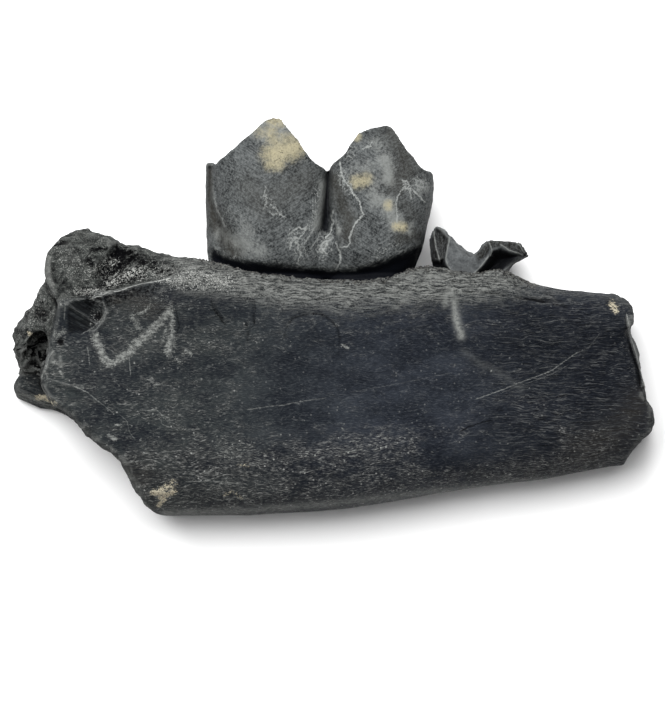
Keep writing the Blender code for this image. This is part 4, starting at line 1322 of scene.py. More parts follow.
    def carve_core(self, skin: Skin) -> None:
        """The spongy inside: stony lumps, and a hollow with splintered blocks in it, which the finish
        blackens with painted shade.
        """
        places = skin.points
        rock = 0.34 * Field(2.7, 41).scallops(places) + 0.15 * Field(1.2, 45).scallops(places) - 0.3
        rock += 0.06 * Field(0.6, 49).layered(places, 2)
        ragged = 0.5 * Field(1.0, 50).scallops(places)
        hollow = rise(depth_inside(skin.flat, self.void) + ragged, 0.1, 0.5) * (places[:, 2] > self.flank)
        blocks = np.clip(Field((0.8, 0.7, 1.8), 51).facets(places), -1, 0.7)
        skin.lift(self.core * rock * (1 - 0.6 * hollow))
        skin.lift(self.core * hollow * (1.1 * blocks - 0.7))

    def carve_rim(self, skin: Skin) -> None:
        """The tooth rim: bone split into fibres along the jaw, ragged at its edge."""
        places = skin.points
        on_top = places[:, 2] > self.upper_side
        near_rim = ease(1 - np.abs(self.below_rim - 0.6) / 3.4) * (1 - self.core) * on_top
        fibres = Field((6.0, 0.55, 1.2), 51).smooth(places) + 0.6 * Field((3.0, 0.42, 0.8), 52).smooth(places)
        splits = rise(Field((7.0, 0.7, 1.5), 53).smooth(places), 0.35, 0.2)
        ragged = ease(1 - np.abs(self.below_rim) / 1.2) * Field(1.0, 54).scallops(places)
        calm = 1 - 0.8 * rise(places[:, 0], 19, 4)
        skin.lift(near_rim * (0.08 * fibres - 0.12 * splits) + 0.16 * calm * ragged * (1 - self.core))

    def carve_lines(self, skin: Skin) -> None:
        """The chipped facet, the hind slab, the front strip, the lines over the roots and the cracks."""
        facing = ease(skin.up / 0.4) * (skin.points[:, 2] > self.upper_side)
        places = skin.points
        x, y = skin.flat.T
        facet = skin.inside(self.facet, 0.3, 0.9)
        across = 0.54 * x + 0.84 * y
        height = facet * (0.04 * np.sin(across * 12 + 2 * Field(1.5, 61).smooth(places)) - 0.16)
        height += self.facet_ridge.depth * skin.beside(self.facet_split, self.facet_ridge.width)
        height -= self.slab_depth * skin.inside(self.slab, 0, 0.6)
        height += skin.filmed(self.ridges)
        broken_up = rise(Field((1.2, 0.8, 1.0), 63).smooth(places), -0.5, 0.6)
        for path in self.root_lines:
            height -= self.root_groove.depth * broken_up * skin.beside(path, self.root_groove.width)
        for path in self.cracks:
            height -= self.crack_groove.depth * broken_up * skin.beside(path, self.crack_groove.width)
        skin.lift(height * facing)
        standing = self.strip_ridge.depth * bell((self.past_strip - 0.2) / self.strip_ridge.width)
        standing -= self.strip_groove.depth * bell((self.past_strip + 0.3) / self.strip_groove.width)
        tapered = rise(y, 0.1, -4.2) * rise(y, -8.3, 0.8)
        skin.points[:, 2] += standing * tapered * rise(skin.points[:, 2], 9, 1.2)
        skin.refresh()

    def worn(self, skin: Skin) -> Array:
        """How worn the bone is: most along its lower side and hind end, hardly at all in its middle."""
        x, y = skin.flat.T
        worn = np.full(len(x), 0.30)
        for share, value in (
            (rise(x, -8, -8), 0.42),
            (ease(1.3 - np.hypot((x - 6) / 21, (y + 7.5) / 5.5)), 0.06),
            (rise(x, 15, 4) * ease(2 - y), 0.16),
            (rise(straight(self.ventral_top, x) - y, -1.2, 2.4), 0.66),
            (skin.inside(self.slab, 0, 0.6), 0.34),
            (skin.inside(self.facet, 0, 0.4), 0.05),
            (ease(1.3 - distance_to_path(skin.flat, [(12.0, -15.3), (24.0, -14.2)]) / 2.2), 0.1),
            (rise(x, 31, 3) * ease(-10 - y), 0.3),
        ):
            worn += share * (value - worn)
        return worn

    def mark(self, skin: Skin) -> None:
        """Keeps what the finish needs to know about each point."""
        self.measure(skin)
        x, y, z = skin.points.T
        hollow, wide = skin.hollows(3), skin.hollows(14)
        on_top = ease(skin.up / 0.35) * (z > self.upper_side)
        strip = rise(self.past_strip, -0.1, 0.2) * (x < self.front_end) * (z > self.flank)
        # Painted shade in the hollows and creases, kept off the front strip.
        crevice = np.clip(hollow / 0.1, 0, 1) * 0.6 + np.clip(wide / 0.35, 0, 1) * 0.8
        band = rise(y - straight(self.rim_foot, x), -1.9, 5.6) * rise(x, -21, 3)
        rim = band * (0.95 - 0.4 * rise(x, 18, 8)) * (z > 4) * (1 - self.core)
        plate = 0.75 * ease(1 - distance_to_path(skin.flat, self.plate_foot)) * (self.past_plate > -1.5)
        # Painted shade along the root grooves, in the pits, under the ledge's lip, in the hollow and in the
        # valley; the cracks are darkened as dark joints.
        dark = [Film(path, 0.34, 0.27) for path in (*self.root_lines, *self.cracks[1:])]
        dark += [Film([pit], 0.45, 0.9) for pit in self.pits] + [*self.painted_shades]
        shade_under_lip = rise(self.above_wall, 0.15, -0.3) * rise(self.above_wall, -2.4, 2.0)
        shade_under_lip *= rise(x, -18.5, -3) * rise(x, -29.5, 1.5)
        void = skin.inside(self.void, 0.1, 0.4) * ease(0.35 + hollow / 0.1)
        shade_and_cracks = np.maximum(skin.filmed(dark), shade_under_lip * 0.6)
        valley = skin.inside(self.valley, 0.5, 0.6) * (0.75 + ease(hollow / 0.08))
        # Painted highlight over the whole front strip, added to the haze films.
        haze_and_painted_light = np.maximum(skin.filmed(self.haze_and_painted_light), 0.3 * strip)
        seen = rise(skin.up, -0.1, 0.2) * (z > self.flank)
        skin.mark(
            crevice=crevice * (1 - strip),
            # Painted highlight on crests.
            crest=rise(-hollow, 0.015, 0.07),
            broken=self.broken * (1 - 0.6 * rise(x, -22, 5) * (x < 0)) * (1 - strip),
            rim=np.maximum(rim, plate),
            worn=self.worn(skin),
            specks=skin.filmed(self.specks) * on_top,
            facet=skin.inside(self.facet, 0.1, 0.4) * on_top,
            grain=rise(x, 12, 12) * (1 - band) * on_top,
            dark=np.max([shade_and_cracks, 0.95 * void, valley], axis=0) * on_top,
            chalk=skin.filmed(self.chalk) * on_top,
            haze_and_painted_light=haze_and_painted_light * ease(skin.up / 0.1 + 0.5) * (z > self.flank),
            brown=skin.filmed(self.browns),
            cream=skin.filmed(self.cream) * rise(skin.up, 0.1, 0.3) * seen,
        )
        skin.draw("scratch", self.scratches_and_strip_highlight, seen)
        skin.draw("twin", self.twins, seen)
        skin.draw("crack", self.dark_lines, seen)


# ---- teeth


@dataclass(frozen=True)
class Lobe:
    """One lobe of a tooth, from the tip of its root to its biting edge.

    Args:
        widths: Centre x and half width by height y, as (y, x, half width).
        upper_z: The height of its upper side by y.
        lower_z: The height of its lower side by y.
        upper_top: The biting edge on the upper side, as (x, y).
        lower_top: The biting edge on the lower side, as (x, y).
        basin: How its hollow steps down, as (share of the ring, drop, how closely it follows the edge).
    """

    widths: Profile
    upper_z: Profile
    lower_z: Profile
    upper_top: Outline
    lower_top: Outline
    basin: Profile
    ring_points: int = 144
    ring_count: int = 110
    upper_squareness: float = 2.5
    lower_squareness: float = 1.75
    blend: float = 0.55
    cusp_height: float = 17.0

    def squared(self) -> tuple[Array, Array]:
        """A rounded square's points: how far each lies to the side and to the front, from -1 to 1."""
        angles = np.linspace(0, 2 * math.pi, self.ring_points, endpoint=False)
        side, front = np.cos(angles), np.sin(angles)
        power = 2 / np.where(front > 0, self.upper_squareness, self.lower_squareness)
        return np.sign(side) * np.abs(side) ** power, np.sign(front) * np.abs(front) ** power

    def outline(self, heights: Array) -> Array:
        """The lobe's ring, each of whose points has its own height y."""
        side, front = self.squared()
        centre = flowing(self.widths, heights)
        half = flowing(self.widths, heights, 2)
        upper, lower = flowing(self.upper_z, heights), flowing(self.lower_z, heights)
        z = (upper + lower) / 2 + (upper - lower) / 2 * front
        return np.column_stack([centre + half * side, heights, z])

    def edge(self) -> Array:
        """The height of the biting edge at each point of the ring."""
        front = self.squared()[1]
        highest = max(y for _, y in self.upper_top)
        guess = self.outline(np.full(self.ring_points, min(highest, self.cusp_height)))
        share = ease((front / self.blend + 1) / 2)
        x = guess[:, 0]
        return straight(self.upper_top, x) * share + straight(self.lower_top, x) * (1 - share)

    def rings(self) -> list[Array]:
        """All rings, up the wall and down into the hollow."""
        floor, edge = self.widths[0][0], self.edge()
        rings = [self.outline(floor + (edge - floor) * step) for step in np.linspace(0, 1, self.ring_count)]
        rim = rings[-1]
        middle = rim.mean(axis=0)
        for share, drop, follow in self.basin:
            inner = middle + (rim - middle) * (share, 1, share)
            depth = edge - drop
            inner[:, 1] = depth.mean() + (depth - depth.mean()) * follow
            rings.append(inner)
        return rings

    def solid(self, name: str) -> Piece:
        """The lobe as a closed solid."""
        return solid_from_rings(name, self.rings())


@dataclass
class Molar:
    """The whole cheek tooth: two lobes and a standing ridge at its hind corner."""

    coarser: float = 1.0
    voxel: float = 0.17
    hind_widths: Profile = (
        (-7, -7.6, 2.3), (-2, -7.5, 4.2), (3.4, -6.9, 5.9), (5.4, -6.6, 6.3), (7, -6.5, 6.55),
        (10, -6.6, 6.5), (14, -6.9, 6.6), (17.5, -7.1, 6.65), (24, -7, 6.2),
    )
    fore_widths: Profile = (
        (-7, 4.8, 2.2), (-2, 4.7, 3.7), (3.4, 4.2, 4.9), (5.4, 4.3, 5.1), (7, 4.6, 5.4), (10, 5.1, 5.7),
        (14, 5.55, 6.05), (17, 5.6, 6.05), (23, 5.4, 5.7),
    )
    upper_z: Profile = (
        (-7, 8.4), (-2, 9.8), (3.6, 10.7), (4.6, 11.2), (5.6, 12.2), (6.8, 13), (8.6, 13.4), (12, 13.1),
        (16, 12.3), (20, 11.1), (24, 9.9),
    )
    lower_z: Profile = (
        (-7, 5.8), (-2, 4.6), (3.6, 3.8), (5.6, 2.9), (8.6, 2.1), (12, 2.2), (16, 3), (20, 4.3), (24, 5.4),
    )
    upper_cusps: Outline = (
        (-14.6, 17.6), (-13.4, 17.8), (-10.7, 20.3), (-7.8, 22.9), (-6.9, 23.2), (-5.9, 23), (-3.7, 20.3),
        (-2, 18), (-0.6, 17), (-0.2, 17.6), (1.4, 19), (2.2, 20.3), (2.9, 21.2), (4.9, 22), (6.1, 22.2),
        (7, 22), (7.8, 20.9), (8.9, 19.1), (10.1, 17.5), (10.8, 17), (11.8, 16.9),
    )
    lower_cusps: Outline = (
        (-14.6, 16.2), (-10.9, 17.6), (-7.6, 20.2), (-4.4, 18.3), (-1, 15.4), (2, 17.4), (5.2, 19.6),
        (8.4, 17.7), (11.8, 15.4),
    )
    basin: Profile = ((0.95, 0, 1), (0.86, 0.5, 0.85), (0.7, 2, 0.65), (0.42, 3.4, 0.5), (0.12, 4.2, 0.35))
    style_x: Profile = (
        (-2, -11, 1.6), (3.6, -11.9, 2.1), (6.4, -12.1, 2.2), (9.5, -12.6, 1.9), (12, -13.2, 1.4),
        (15, -13.8, 0.88), (17.8, -14, 0.52),
    )
    style_z: Profile = ((-2, 4.8, 1.6), (3.6, 6.6, 3), (6.4, 6.8, 3.2), (12, 6.6, 3), (17.8, 6.4, 2.2))
    bridge_centre: Triple = (-0.5, 7.9, 8.6)
    bridge_radii: Triple = (4.4, 3.6, 3.6)
    gap: Outline = ((-0.4, 17.6), (-0.5, 15.4), (-0.6, 13.7), (-0.7, 12), (-0.8, 10.4))
    fore_edge: Outline = ((-0.1, 17.9), (-0.1, 15.4), (0, 13.1), (0.3, 11.2), (0.8, 9.7), (1.1, 8.1))
    corner: Outline = (
        (-14.1, 17.4), (-14.1, 15.4), (-14.1, 13.7), (-13.6, 12), (-13.1, 10.5), (-12.2, 9.1), (-11.1, 7.9),
    )
    corner_edge: Outline = (
        (-13.9, 16.9), (-13.8, 14.9), (-13.4, 13.1), (-12.8, 11.7), (-12.4, 10.6), (-12.1, 9.3),
        (-11.1, 8.2),
    )
    neck_line: Outline = (
        (-14.4, 8.9), (-13.8, 8.4), (-12.3, 7.6), (-10.6, 7.1), (-8.9, 6.8), (-6.6, 6.6), (-4.8, 6.4),
        (-2.5, 6.1), (-0.2, 6), (1.5, 6), (3.2, 6.2), (4.4, 6.5), (5.5, 6.9), (7.3, 7.5), (9.2, 8.4),
        (10.7, 8.9),
    )
    cream: Films = (
        Film([(-7, 23), (-6, 22.8)], 0.8, 0.62),
        Film([(-7.1, 21.6), (-6.7, 20.4)], 0.8, 0.55),
        Film([(-5.2, 20.6), (-4.5, 20.2)], 0.9, 0.62),
        Film([(-6.8, 18.8), (-5.6, 19.1), (-4.3, 19.6)], 1.25, 0.92),
        Film([(-7.1, 17.8), (-6.1, 17.8)], 0.8, 0.8),
        Film([(-8.3, 21.4)], 0.7, 0.5),
        Film([(2.8, 15.7), (3.9, 15.9)], 0.8, 0.8),
        Film([(7.5, 10.6), (8.2, 10.5)], 0.55, 0.85),
        Film([(6.5, 13)], 0.6, 0.6),
        Film([(2.9, 20.9)], 0.5, 0.65),
    )
    pale: Films = (
        Film([(-8.4, 21.8), (-6, 22)], 1.5, 0.75),
        Film([(6.1, 18.3), (6.5, 17.4), (6.3, 16.2)], 0.9, 0.95),
        Film([(5, 15.4), (4.6, 14.6), (5.3, 13.7)], 1, 0.7),
        Film([(6.5, 13.1), (6.9, 12.2), (7.4, 10.8)], 0.9, 0.8),
        Film([(9, 10.6), (8.9, 9.9)], 0.5, 0.8),
        Film([(4.6, 20.4), (5.9, 19.5)], 0.9, 0.45),
        Film([(2.6, 17.2), (4.2, 17.4)], 0.9, 0.42),
        Film([(-12.3, 10), (-10.6, 8.5), (-8.1, 7.9)], 1.2, 0.5),
        Film([(-9.5, 9.9), (-12.4, 12.2)], 1, 0.42),
        Film([(-1.1, 15.4), (-1, 13.7), (-1.3, 12.3), (-1.6, 10.8)], 0.6, 0.9),
        Film([(-0.6, 9.2), (-0.8, 8.9), (-1.2, 7.9)], 0.5, 0.7),
        Film([(0.5, 11.2), (0.7, 10)], 0.4, 0.6),
        Film([(10.4, 15.2)], 1, 0.5),
    )
    net: Films = (
        Film([(-4.2, 9), (-3.4, 7.6)], 1.5, 0.72),
        Film([(-0.8, 9.4), (-1.2, 7.6)], 1.2, 0.85),
        Film([(10, 15.4)], 1.4, 0.85),
        Film([(8.5, 15.3)], 0.6, 0.9),
        Film([(1.1, 16.6), (1.9, 14.9)], 0.8, 0.9),
        Film([(1.9, 18.5), (2.4, 19.8)], 0.8, 0.6),
        Film([(-7.5, 14), (-6.2, 12)], 0.8, 0.62),
        Film([(-1.4, 14.6), (-1.6, 12.8), (-2.2, 10.4)], 0.9, 0.85),
        Film([(4.5, 7), (7.5, 8.6)], 0.9, 0.5),
    )
    veins: Lines = (
        Line([(0.9, 17.9), (1, 17), (1.3, 16.2), (1.6, 15.6), (2.1, 15), (2.4, 14.4), (2.9, 13.8),
              (3.2, 13.4), (3.3, 12.7), (3.6, 12)], 0.95),
        Line([(3.6, 12), (3.2, 11.6), (2.9, 11.2), (2.5, 10.6), (2.2, 9.9), (2, 9.3), (2.1, 8.7),
              (1.7, 8.3), (1, 8.2)], 0.85),
        Line([(0.5, 8.7), (0.6, 8.1), (0.9, 7.7), (1, 7), (0.9, 6.4), (0.6, 6), (0.5, 5.5)], 0.9),
        Line([(3.6, 19.5), (3.9, 19.8), (4.4, 19.8), (4.6, 20.3)], 0.85),
        Line([(7.5, 11.2), (7.4, 12.3), (7.4, 13.4), (7.6, 14.1), (8, 14.7), (8.3, 15.2), (8.5, 15.8)], 0.75),
        Line([(8.2, 15.9), (8.6, 15.8), (8.9, 15.3), (8.6, 14.9), (8.3, 15.1)], 0.9),
        Line([(8.9, 15.1), (9, 14.5), (9.1, 13.9)], 0.8),
        Line([(9, 15), (9.6, 14.5), (10, 14.1), (10.6, 13.5)], 0.85),
        Line([(9.4, 16), (10.1, 15.8), (10.8, 15.6)], 0.5),
        Line([(9.7, 15.3), (10.6, 15.1), (11.2, 15.2)], 0.5),
        Line([(-4.8, 9.7), (-4.4, 10.2), (-3.8, 10.5), (-3.2, 10.2), (-2.8, 10.8)], 0.8),
        Line([(-4.3, 9.3), (-3.8, 9.2), (-3.3, 9.7), (-3, 10.2)], 0.8),
        Line([(-4.8, 8.1), (-4.7, 8.7), (-4.3, 9), (-3.9, 8.5), (-3.9, 7.9), (-3.5, 7.5), (-3.8, 6.9),
              (-4, 6.4), (-3.6, 6)], 0.8),
        Line([(-3.1, 8.7), (-2.5, 9.6), (-2, 10.4), (-1.4, 11.6)], 0.6),
        Line([(-2.3, 8.2), (-1.7, 9.1), (-1.3, 10)], 0.6),
        Line([(-1.6, 12), (-1.2, 12.6), (-1.3, 13.4), (-0.9, 14.2)], 0.6),
        Line([(0.1, 12.3), (-0.1, 11.6), (0.2, 11.2), (0, 10.7), (-0.2, 9.8), (-0.8, 9.3), (-0.5, 8.6),
              (-1, 7.9), (-0.6, 7.5)], 0.95),
        Line([(-0.2, 9.1), (-1.2, 8.6), (-1.4, 7.9)], 0.8),
        Line([(-7.6, 15.1), (-7.8, 14.2), (-7.5, 13.5), (-7.8, 12.6)], 0.55),
        Line([(-7.1, 12.2), (-6.7, 11.9), (-6.1, 12.1), (-5.5, 11.7)], 0.6),
        Line([(-12.4, 10.7), (-12.7, 11.6), (-13.3, 12.6), (-13.5, 13.7)], 0.4),
    )
    stains: Films = (
        Film([(0.3, 16), (0.7, 14.5), (1.3, 12.6), (2, 11.4), (1.7, 9.6)], 0.9, 0.8),
        Film([(7, 21.2), (8.2, 19.4), (8.6, 17.2), (7.4, 15.2)], 1.5, 0.66),
        Film([(8.2, 13.2), (9.2, 11.8)], 1, 0.4),
        Film([(-9.5, 15.1), (-8.1, 13.1), (-4.8, 14.9), (-2.8, 16.2)], 1.8, 0.42),
        Film([(7.8, 9.3), (9.8, 9.6)], 0.8, 0.7),
    )
    gum_line: float = 4.4
    gap_opens: tuple[float, float] = (15.5, -4.0)
    corner_opens: tuple[float, float] = (15.0, -5.0)
    gap_depth: float = 1.3
    corner_depth: float = 0.7
    fore_rib: Cut = Cut(0.32, 0.35)
    corner_rib: Cut = Cut(0.16, 0.3)
    chip_depth: float = 0.1
    style_points: int = 48
    style_rings: int = 60

    def build(self) -> Piece:
        """Makes, sculpts and dresses the tooth."""
        hind, fore = (
            Lobe(widths, self.upper_z, self.lower_z, self.upper_cusps, self.lower_cusps, self.basin)
            for widths in (self.hind_widths, self.fore_widths)
        )
        tooth = hind.solid("molar_crown")
        fuse(tooth, [fore.solid("fore_lobe"), self.style(), self.bridge()], self.voxel * self.coarser)
        tooth.data.transform(Matrix.Translation(Vector(CENTRING) * MM))
        skin = Skin(tooth)
        skin.even_out(np.full(len(skin.points), 0.8), 4)
        self.carve(skin)
        self.mark(skin)
        return dress(tooth, EnamelFinish().material())

    def style(self) -> Piece:
        """The thin upright ridge at the hind corner."""
        angles = np.linspace(0, 2 * math.pi, self.style_points, endpoint=False)
        rings = []
        for y in np.linspace(self.style_x[0][0], self.style_x[-1][0], self.style_rings):
            x = flowing(self.style_x, y)
            half = flowing(self.style_x, y, 2)
            z = flowing(self.style_z, y)
            reach = flowing(self.style_z, y, 2)
            ring = [x + half * np.cos(angles), np.full(len(angles), y), z + reach * np.sin(angles)]
            rings.append(np.column_stack(ring))
        return solid_from_rings("style", rings)

    def bridge(self) -> Piece:
        """The enamel that joins the two lobes near the gum."""
        bm = bmesh.new()
        bmesh.ops.create_icosphere(bm, subdivisions=4, radius=1)
        bmesh.ops.scale(bm, verts=bm.verts, vec=Vector(self.bridge_radii) * MM)
        bmesh.ops.translate(bm, verts=bm.verts, vec=Vector(self.bridge_centre) * MM)
        return object_from(bm, "bridge")

    def under(self, places: Array) -> Array:
        """How far each place lies under the line where the enamel turns in to its neck, in millimetres."""
        return straight(self.neck_line, places[:, 0]) - places[:, 1]

    def carve(self, skin: Skin) -> None:
        """The gap between the lobes, the corner valley, the undercut neck and the wear."""
        places = skin.points
        upper = rise(places[:, 2], 7.0, 2) * ease(skin.up / 0.3 + 0.3)
        crown = ease(places[:, 1] - self.gum_line)
        swell = 0.07 * Field((1.8, 3.0, 2.5), 71).smooth(places) + 0.045 * Field(1.1, 72).layered(places)
        chips = rise(Field(0.9, 75).layered(places), 0.3, 0.4) * rise(places[:, 1], 19.5, 2)
        skin.lift(crown * swell - self.chip_depth * chips)
        gap_width = 0.32 + 0.3 * rise(places[:, 1], *self.gap_opens)
        fall = self.gap_depth * skin.beside(self.gap, gap_width)
        valley_width = 0.3 + 0.75 * rise(places[:, 1], *self.corner_opens)
        fall += self.corner_depth * skin.beside(self.corner, valley_width)
        fall += ease(self.under(places) / 1.4) * ease((8.5 - places[:, 1]) / 2 + 0.6)
        fall -= self.fore_rib.depth * skin.beside(self.fore_edge, self.fore_rib.width)
        fall -= self.corner_rib.depth * skin.beside(self.corner_edge, self.corner_rib.width)
        skin.points[:, 2] -= fall * upper * crown
        skin.refresh()

    def mark(self, skin: Skin) -> None:
        """Keeps what the finish needs to know about each point."""
        flat, z = skin.flat, skin.points[:, 2]
        upper = rise(z, 6.0, 1.5)
        hollow = skin.hollows(4)
        gap_width = 0.16 + 0.32 * rise(flat[:, 1], *self.gap_opens)
        gap = np.exp(-((distance_to_path(flat, self.gap) / gap_width) ** 4)) * upper
        # Painted shade in the hollows, the creases and the gap between the lobes.
        crevice = np.clip(hollow / 0.1, 0, 1) * 0.55 + np.clip(skin.hollows(14) / 0.35, 0, 1) * 0.55
        uneven = 0.25 * Field((1.2, 0.8, 1.0), 77).layered(skin.points)
        # Painted shade under the crown's bulge, in the undercut neck.
        under = ease((self.under(skin.points) + 0.5 + uneven) / 1.7)
        valley_width = 0.35 + 0.75 * rise(flat[:, 1], *self.corner_opens)
        corner = skin.beside(self.corner, valley_width)
        skin.mark(
            crevice=np.maximum(crevice, gap),
            # Painted highlight on crests.
            crest=rise(-hollow, 0.02, 0.08),
            under=under * rise(flat[:, 0], -14.3, 0.8),
            brown=np.maximum(corner, skin.filmed(self.stains)) * upper,
            cream=skin.filmed(self.cream) * upper,
            pale=skin.filmed(self.pale) * upper,
            net=skin.filmed(self.net) * upper,
        )
        skin.draw("vein", self.veins, upper)


@dataclass
class BrokenMolar:
    """What is left of the neighbouring tooth: a jagged cup of wall on its root."""

    coarser: float = 1.0
    voxel: float = 0.13
    widths: Profile = (
        (-6, 16.6, 2.4), (-2, 16.4, 3.4), (4, 16.1, 4.2), (6, 16.2, 4.6), (7.4, 17.1, 5.8), (9, 17.2, 6),
        (11, 17.2, 6),
    )
    upper_z: Profile = ((-6, 8.4), (-2, 9.4), (4, 10.4), (5.6, 11.3), (7.4, 12), (11, 12.2))
    lower_z: Profile = ((-6, 5.6), (-2, 4.4), (4, 3.6), (7.4, 2.4), (11, 2.6))
    break_line: Outline = (
        (11.2, 9.2), (11.5, 10), (11.8, 10.5), (12.5, 10.1), (13.4, 9), (14.2, 8.4), (14.6, 7.6), (15.4, 7),
        (16.3, 7), (17.1, 7.9), (17.8, 8.9), (19.3, 8.8), (21, 8.7), (22.1, 8.1), (22.9, 7.2),
    )
    basin: Profile = ((0.9, 0.1, 1), (0.8, 0.35, 0.8), (0.55, 1.1, 0.55), (0.3, 1.5, 0.3), (0.1, 1.6, 0.1))
    slot: Outline = ((11.3, 6.9), (12.2, 6.8), (12.9, 7), (13.1, 6.3), (13.7, 5.5), (13.5, 4.6), (11.3, 4.6))
    hind_face: Outline = (
        (11.9, 10.5), (12.6, 10.4), (13.4, 9.3), (13.2, 7.9), (13, 6.8), (12.4, 6.6), (11.4, 6.6),
        (11.4, 9.1),
    )
    wing: Outline = (
        (18.3, 7.9), (19.4, 8.2), (20.5, 7.7), (21.7, 7.3), (20.9, 6.6), (19.8, 5.5), (18, 4.3),
        (15.4, 4.3), (15.8, 4.8), (16.8, 5.6), (17.7, 6.8),
    )
    shoulder: Outline = (
        (16.3, 7.3), (17.5, 8.9), (19.4, 9.3), (23.3, 9.1), (23.3, 6.9), (21.8, 7.1), (20.5, 7.8),
        (19.4, 8.3), (18.2, 7.9), (17.7, 7), (16.8, 6.6),
    )
    edges: Lines = (
        Line([(11.7, 10), (11.9, 8.5), (12.2, 7.4), (12.4, 6.6)], 0.8),
        Line([(13.5, 9.2), (13.3, 8.2), (13.1, 7), (13.3, 6.1), (13.8, 5.5)], 0.75),
        Line([(17.9, 7.1), (17.3, 6.3), (16.6, 5.5), (15.9, 4.9)], 0.8),
        Line([(19.4, 8.5), (20.3, 7.9), (21.8, 7.4)], 0.8),
        Line([(21.3, 8.7), (21.7, 8.3), (22, 7.7)], 0.75),
        Line([(21.7, 7), (20.7, 6.3), (19.9, 5.6)], 0.5),
        Line([(18.1, 8.6), (18.4, 7.9), (18.2, 7.3)], 0.6),
    )
    gum_line: float = 4.4
    undercut: float = 2.2
    face_depth: float = 0.5

    def build(self) -> Piece:
        """Makes, sculpts and dresses the stump."""
        lobe = Lobe(self.widths, self.upper_z, self.lower_z, self.break_line, self.break_line, self.basin)
        stump = reskin(lobe.solid("broken_crown"), self.voxel * self.coarser)
        stump.data.transform(Matrix.Translation(Vector(CENTRING) * MM))
        skin = Skin(stump)
        skin.even_out(np.full(len(skin.points), 0.8), 3)
        self.carve(skin)
        self.mark(skin)
        return dress(stump, StumpFinish().material())

    def mark(self, skin: Skin) -> None:
        """Keeps what the finish needs to know about each point."""
        upper = ease(skin.points[:, 2] - 6) * ease(skin.up / 0.3 + 0.8)
        hollow = skin.hollows(4)
        # Painted shade in the undercut wing and the slot.
        shade = np.maximum(depth_inside(skin.flat, self.wing), depth_inside(skin.flat, self.slot))
        # Brown of the old break on the shoulder; on the dished hind face it is painted shadow.
        brown = np.maximum(depth_inside(skin.flat, self.shoulder), depth_inside(skin.flat, self.hind_face))
        skin.mark(
            shade=rise(shade, -0.1, 0.4) * upper,
            brown=rise(brown, -0.15, 0.4) * upper,
            crevice=np.clip(hollow / 0.08, 0, 1),
            # Painted highlight on crests.
            crest=rise(-hollow, 0.015, 0.06) * (skin.points[:, 1] > self.gum_line),
        )
        skin.draw("edge", self.edges, upper)

    def carve(self, skin: Skin) -> None:
        """The split at one side, the undercut wing, the sharp edges and the rough break."""
        above = ease(skin.points[:, 1] - self.gum_line + 0.5)
        facing = ease(skin.up / 0.4 + 0.3) * above
        fall = self.undercut * (skin.inside(self.slot, 0.1, 0.6) + skin.inside(self.wing, 0, 1.2))
        fall += self.face_depth * skin.inside(self.hind_face, 0, 0.5)
        skin.points[:, 2] -= fall * facing
        skin.refresh()
        places = skin.points
        height = 0.09 * Field(1.6, 81).layered(places) + 0.04 * Field(0.6, 84).layered(places, 2)
        height += 0.16 * skin.filmed([Film(edge.path, 0.16) for edge in self.edges]) * facing
        high = rise(places[:, 1] - straight(self.break_line, places[:, 0]), -1.0, 0.6)
        skin.lift((height + 0.08 * high * Field(0.9, 86).scallops(places)) * above)


# ---- crumbs


class Crumbs(Enum):
    """The two places where loose crumbs lie."""

    SOCKET_RIM = "socket_crumbs"
    MARROW = "marrow_grit"


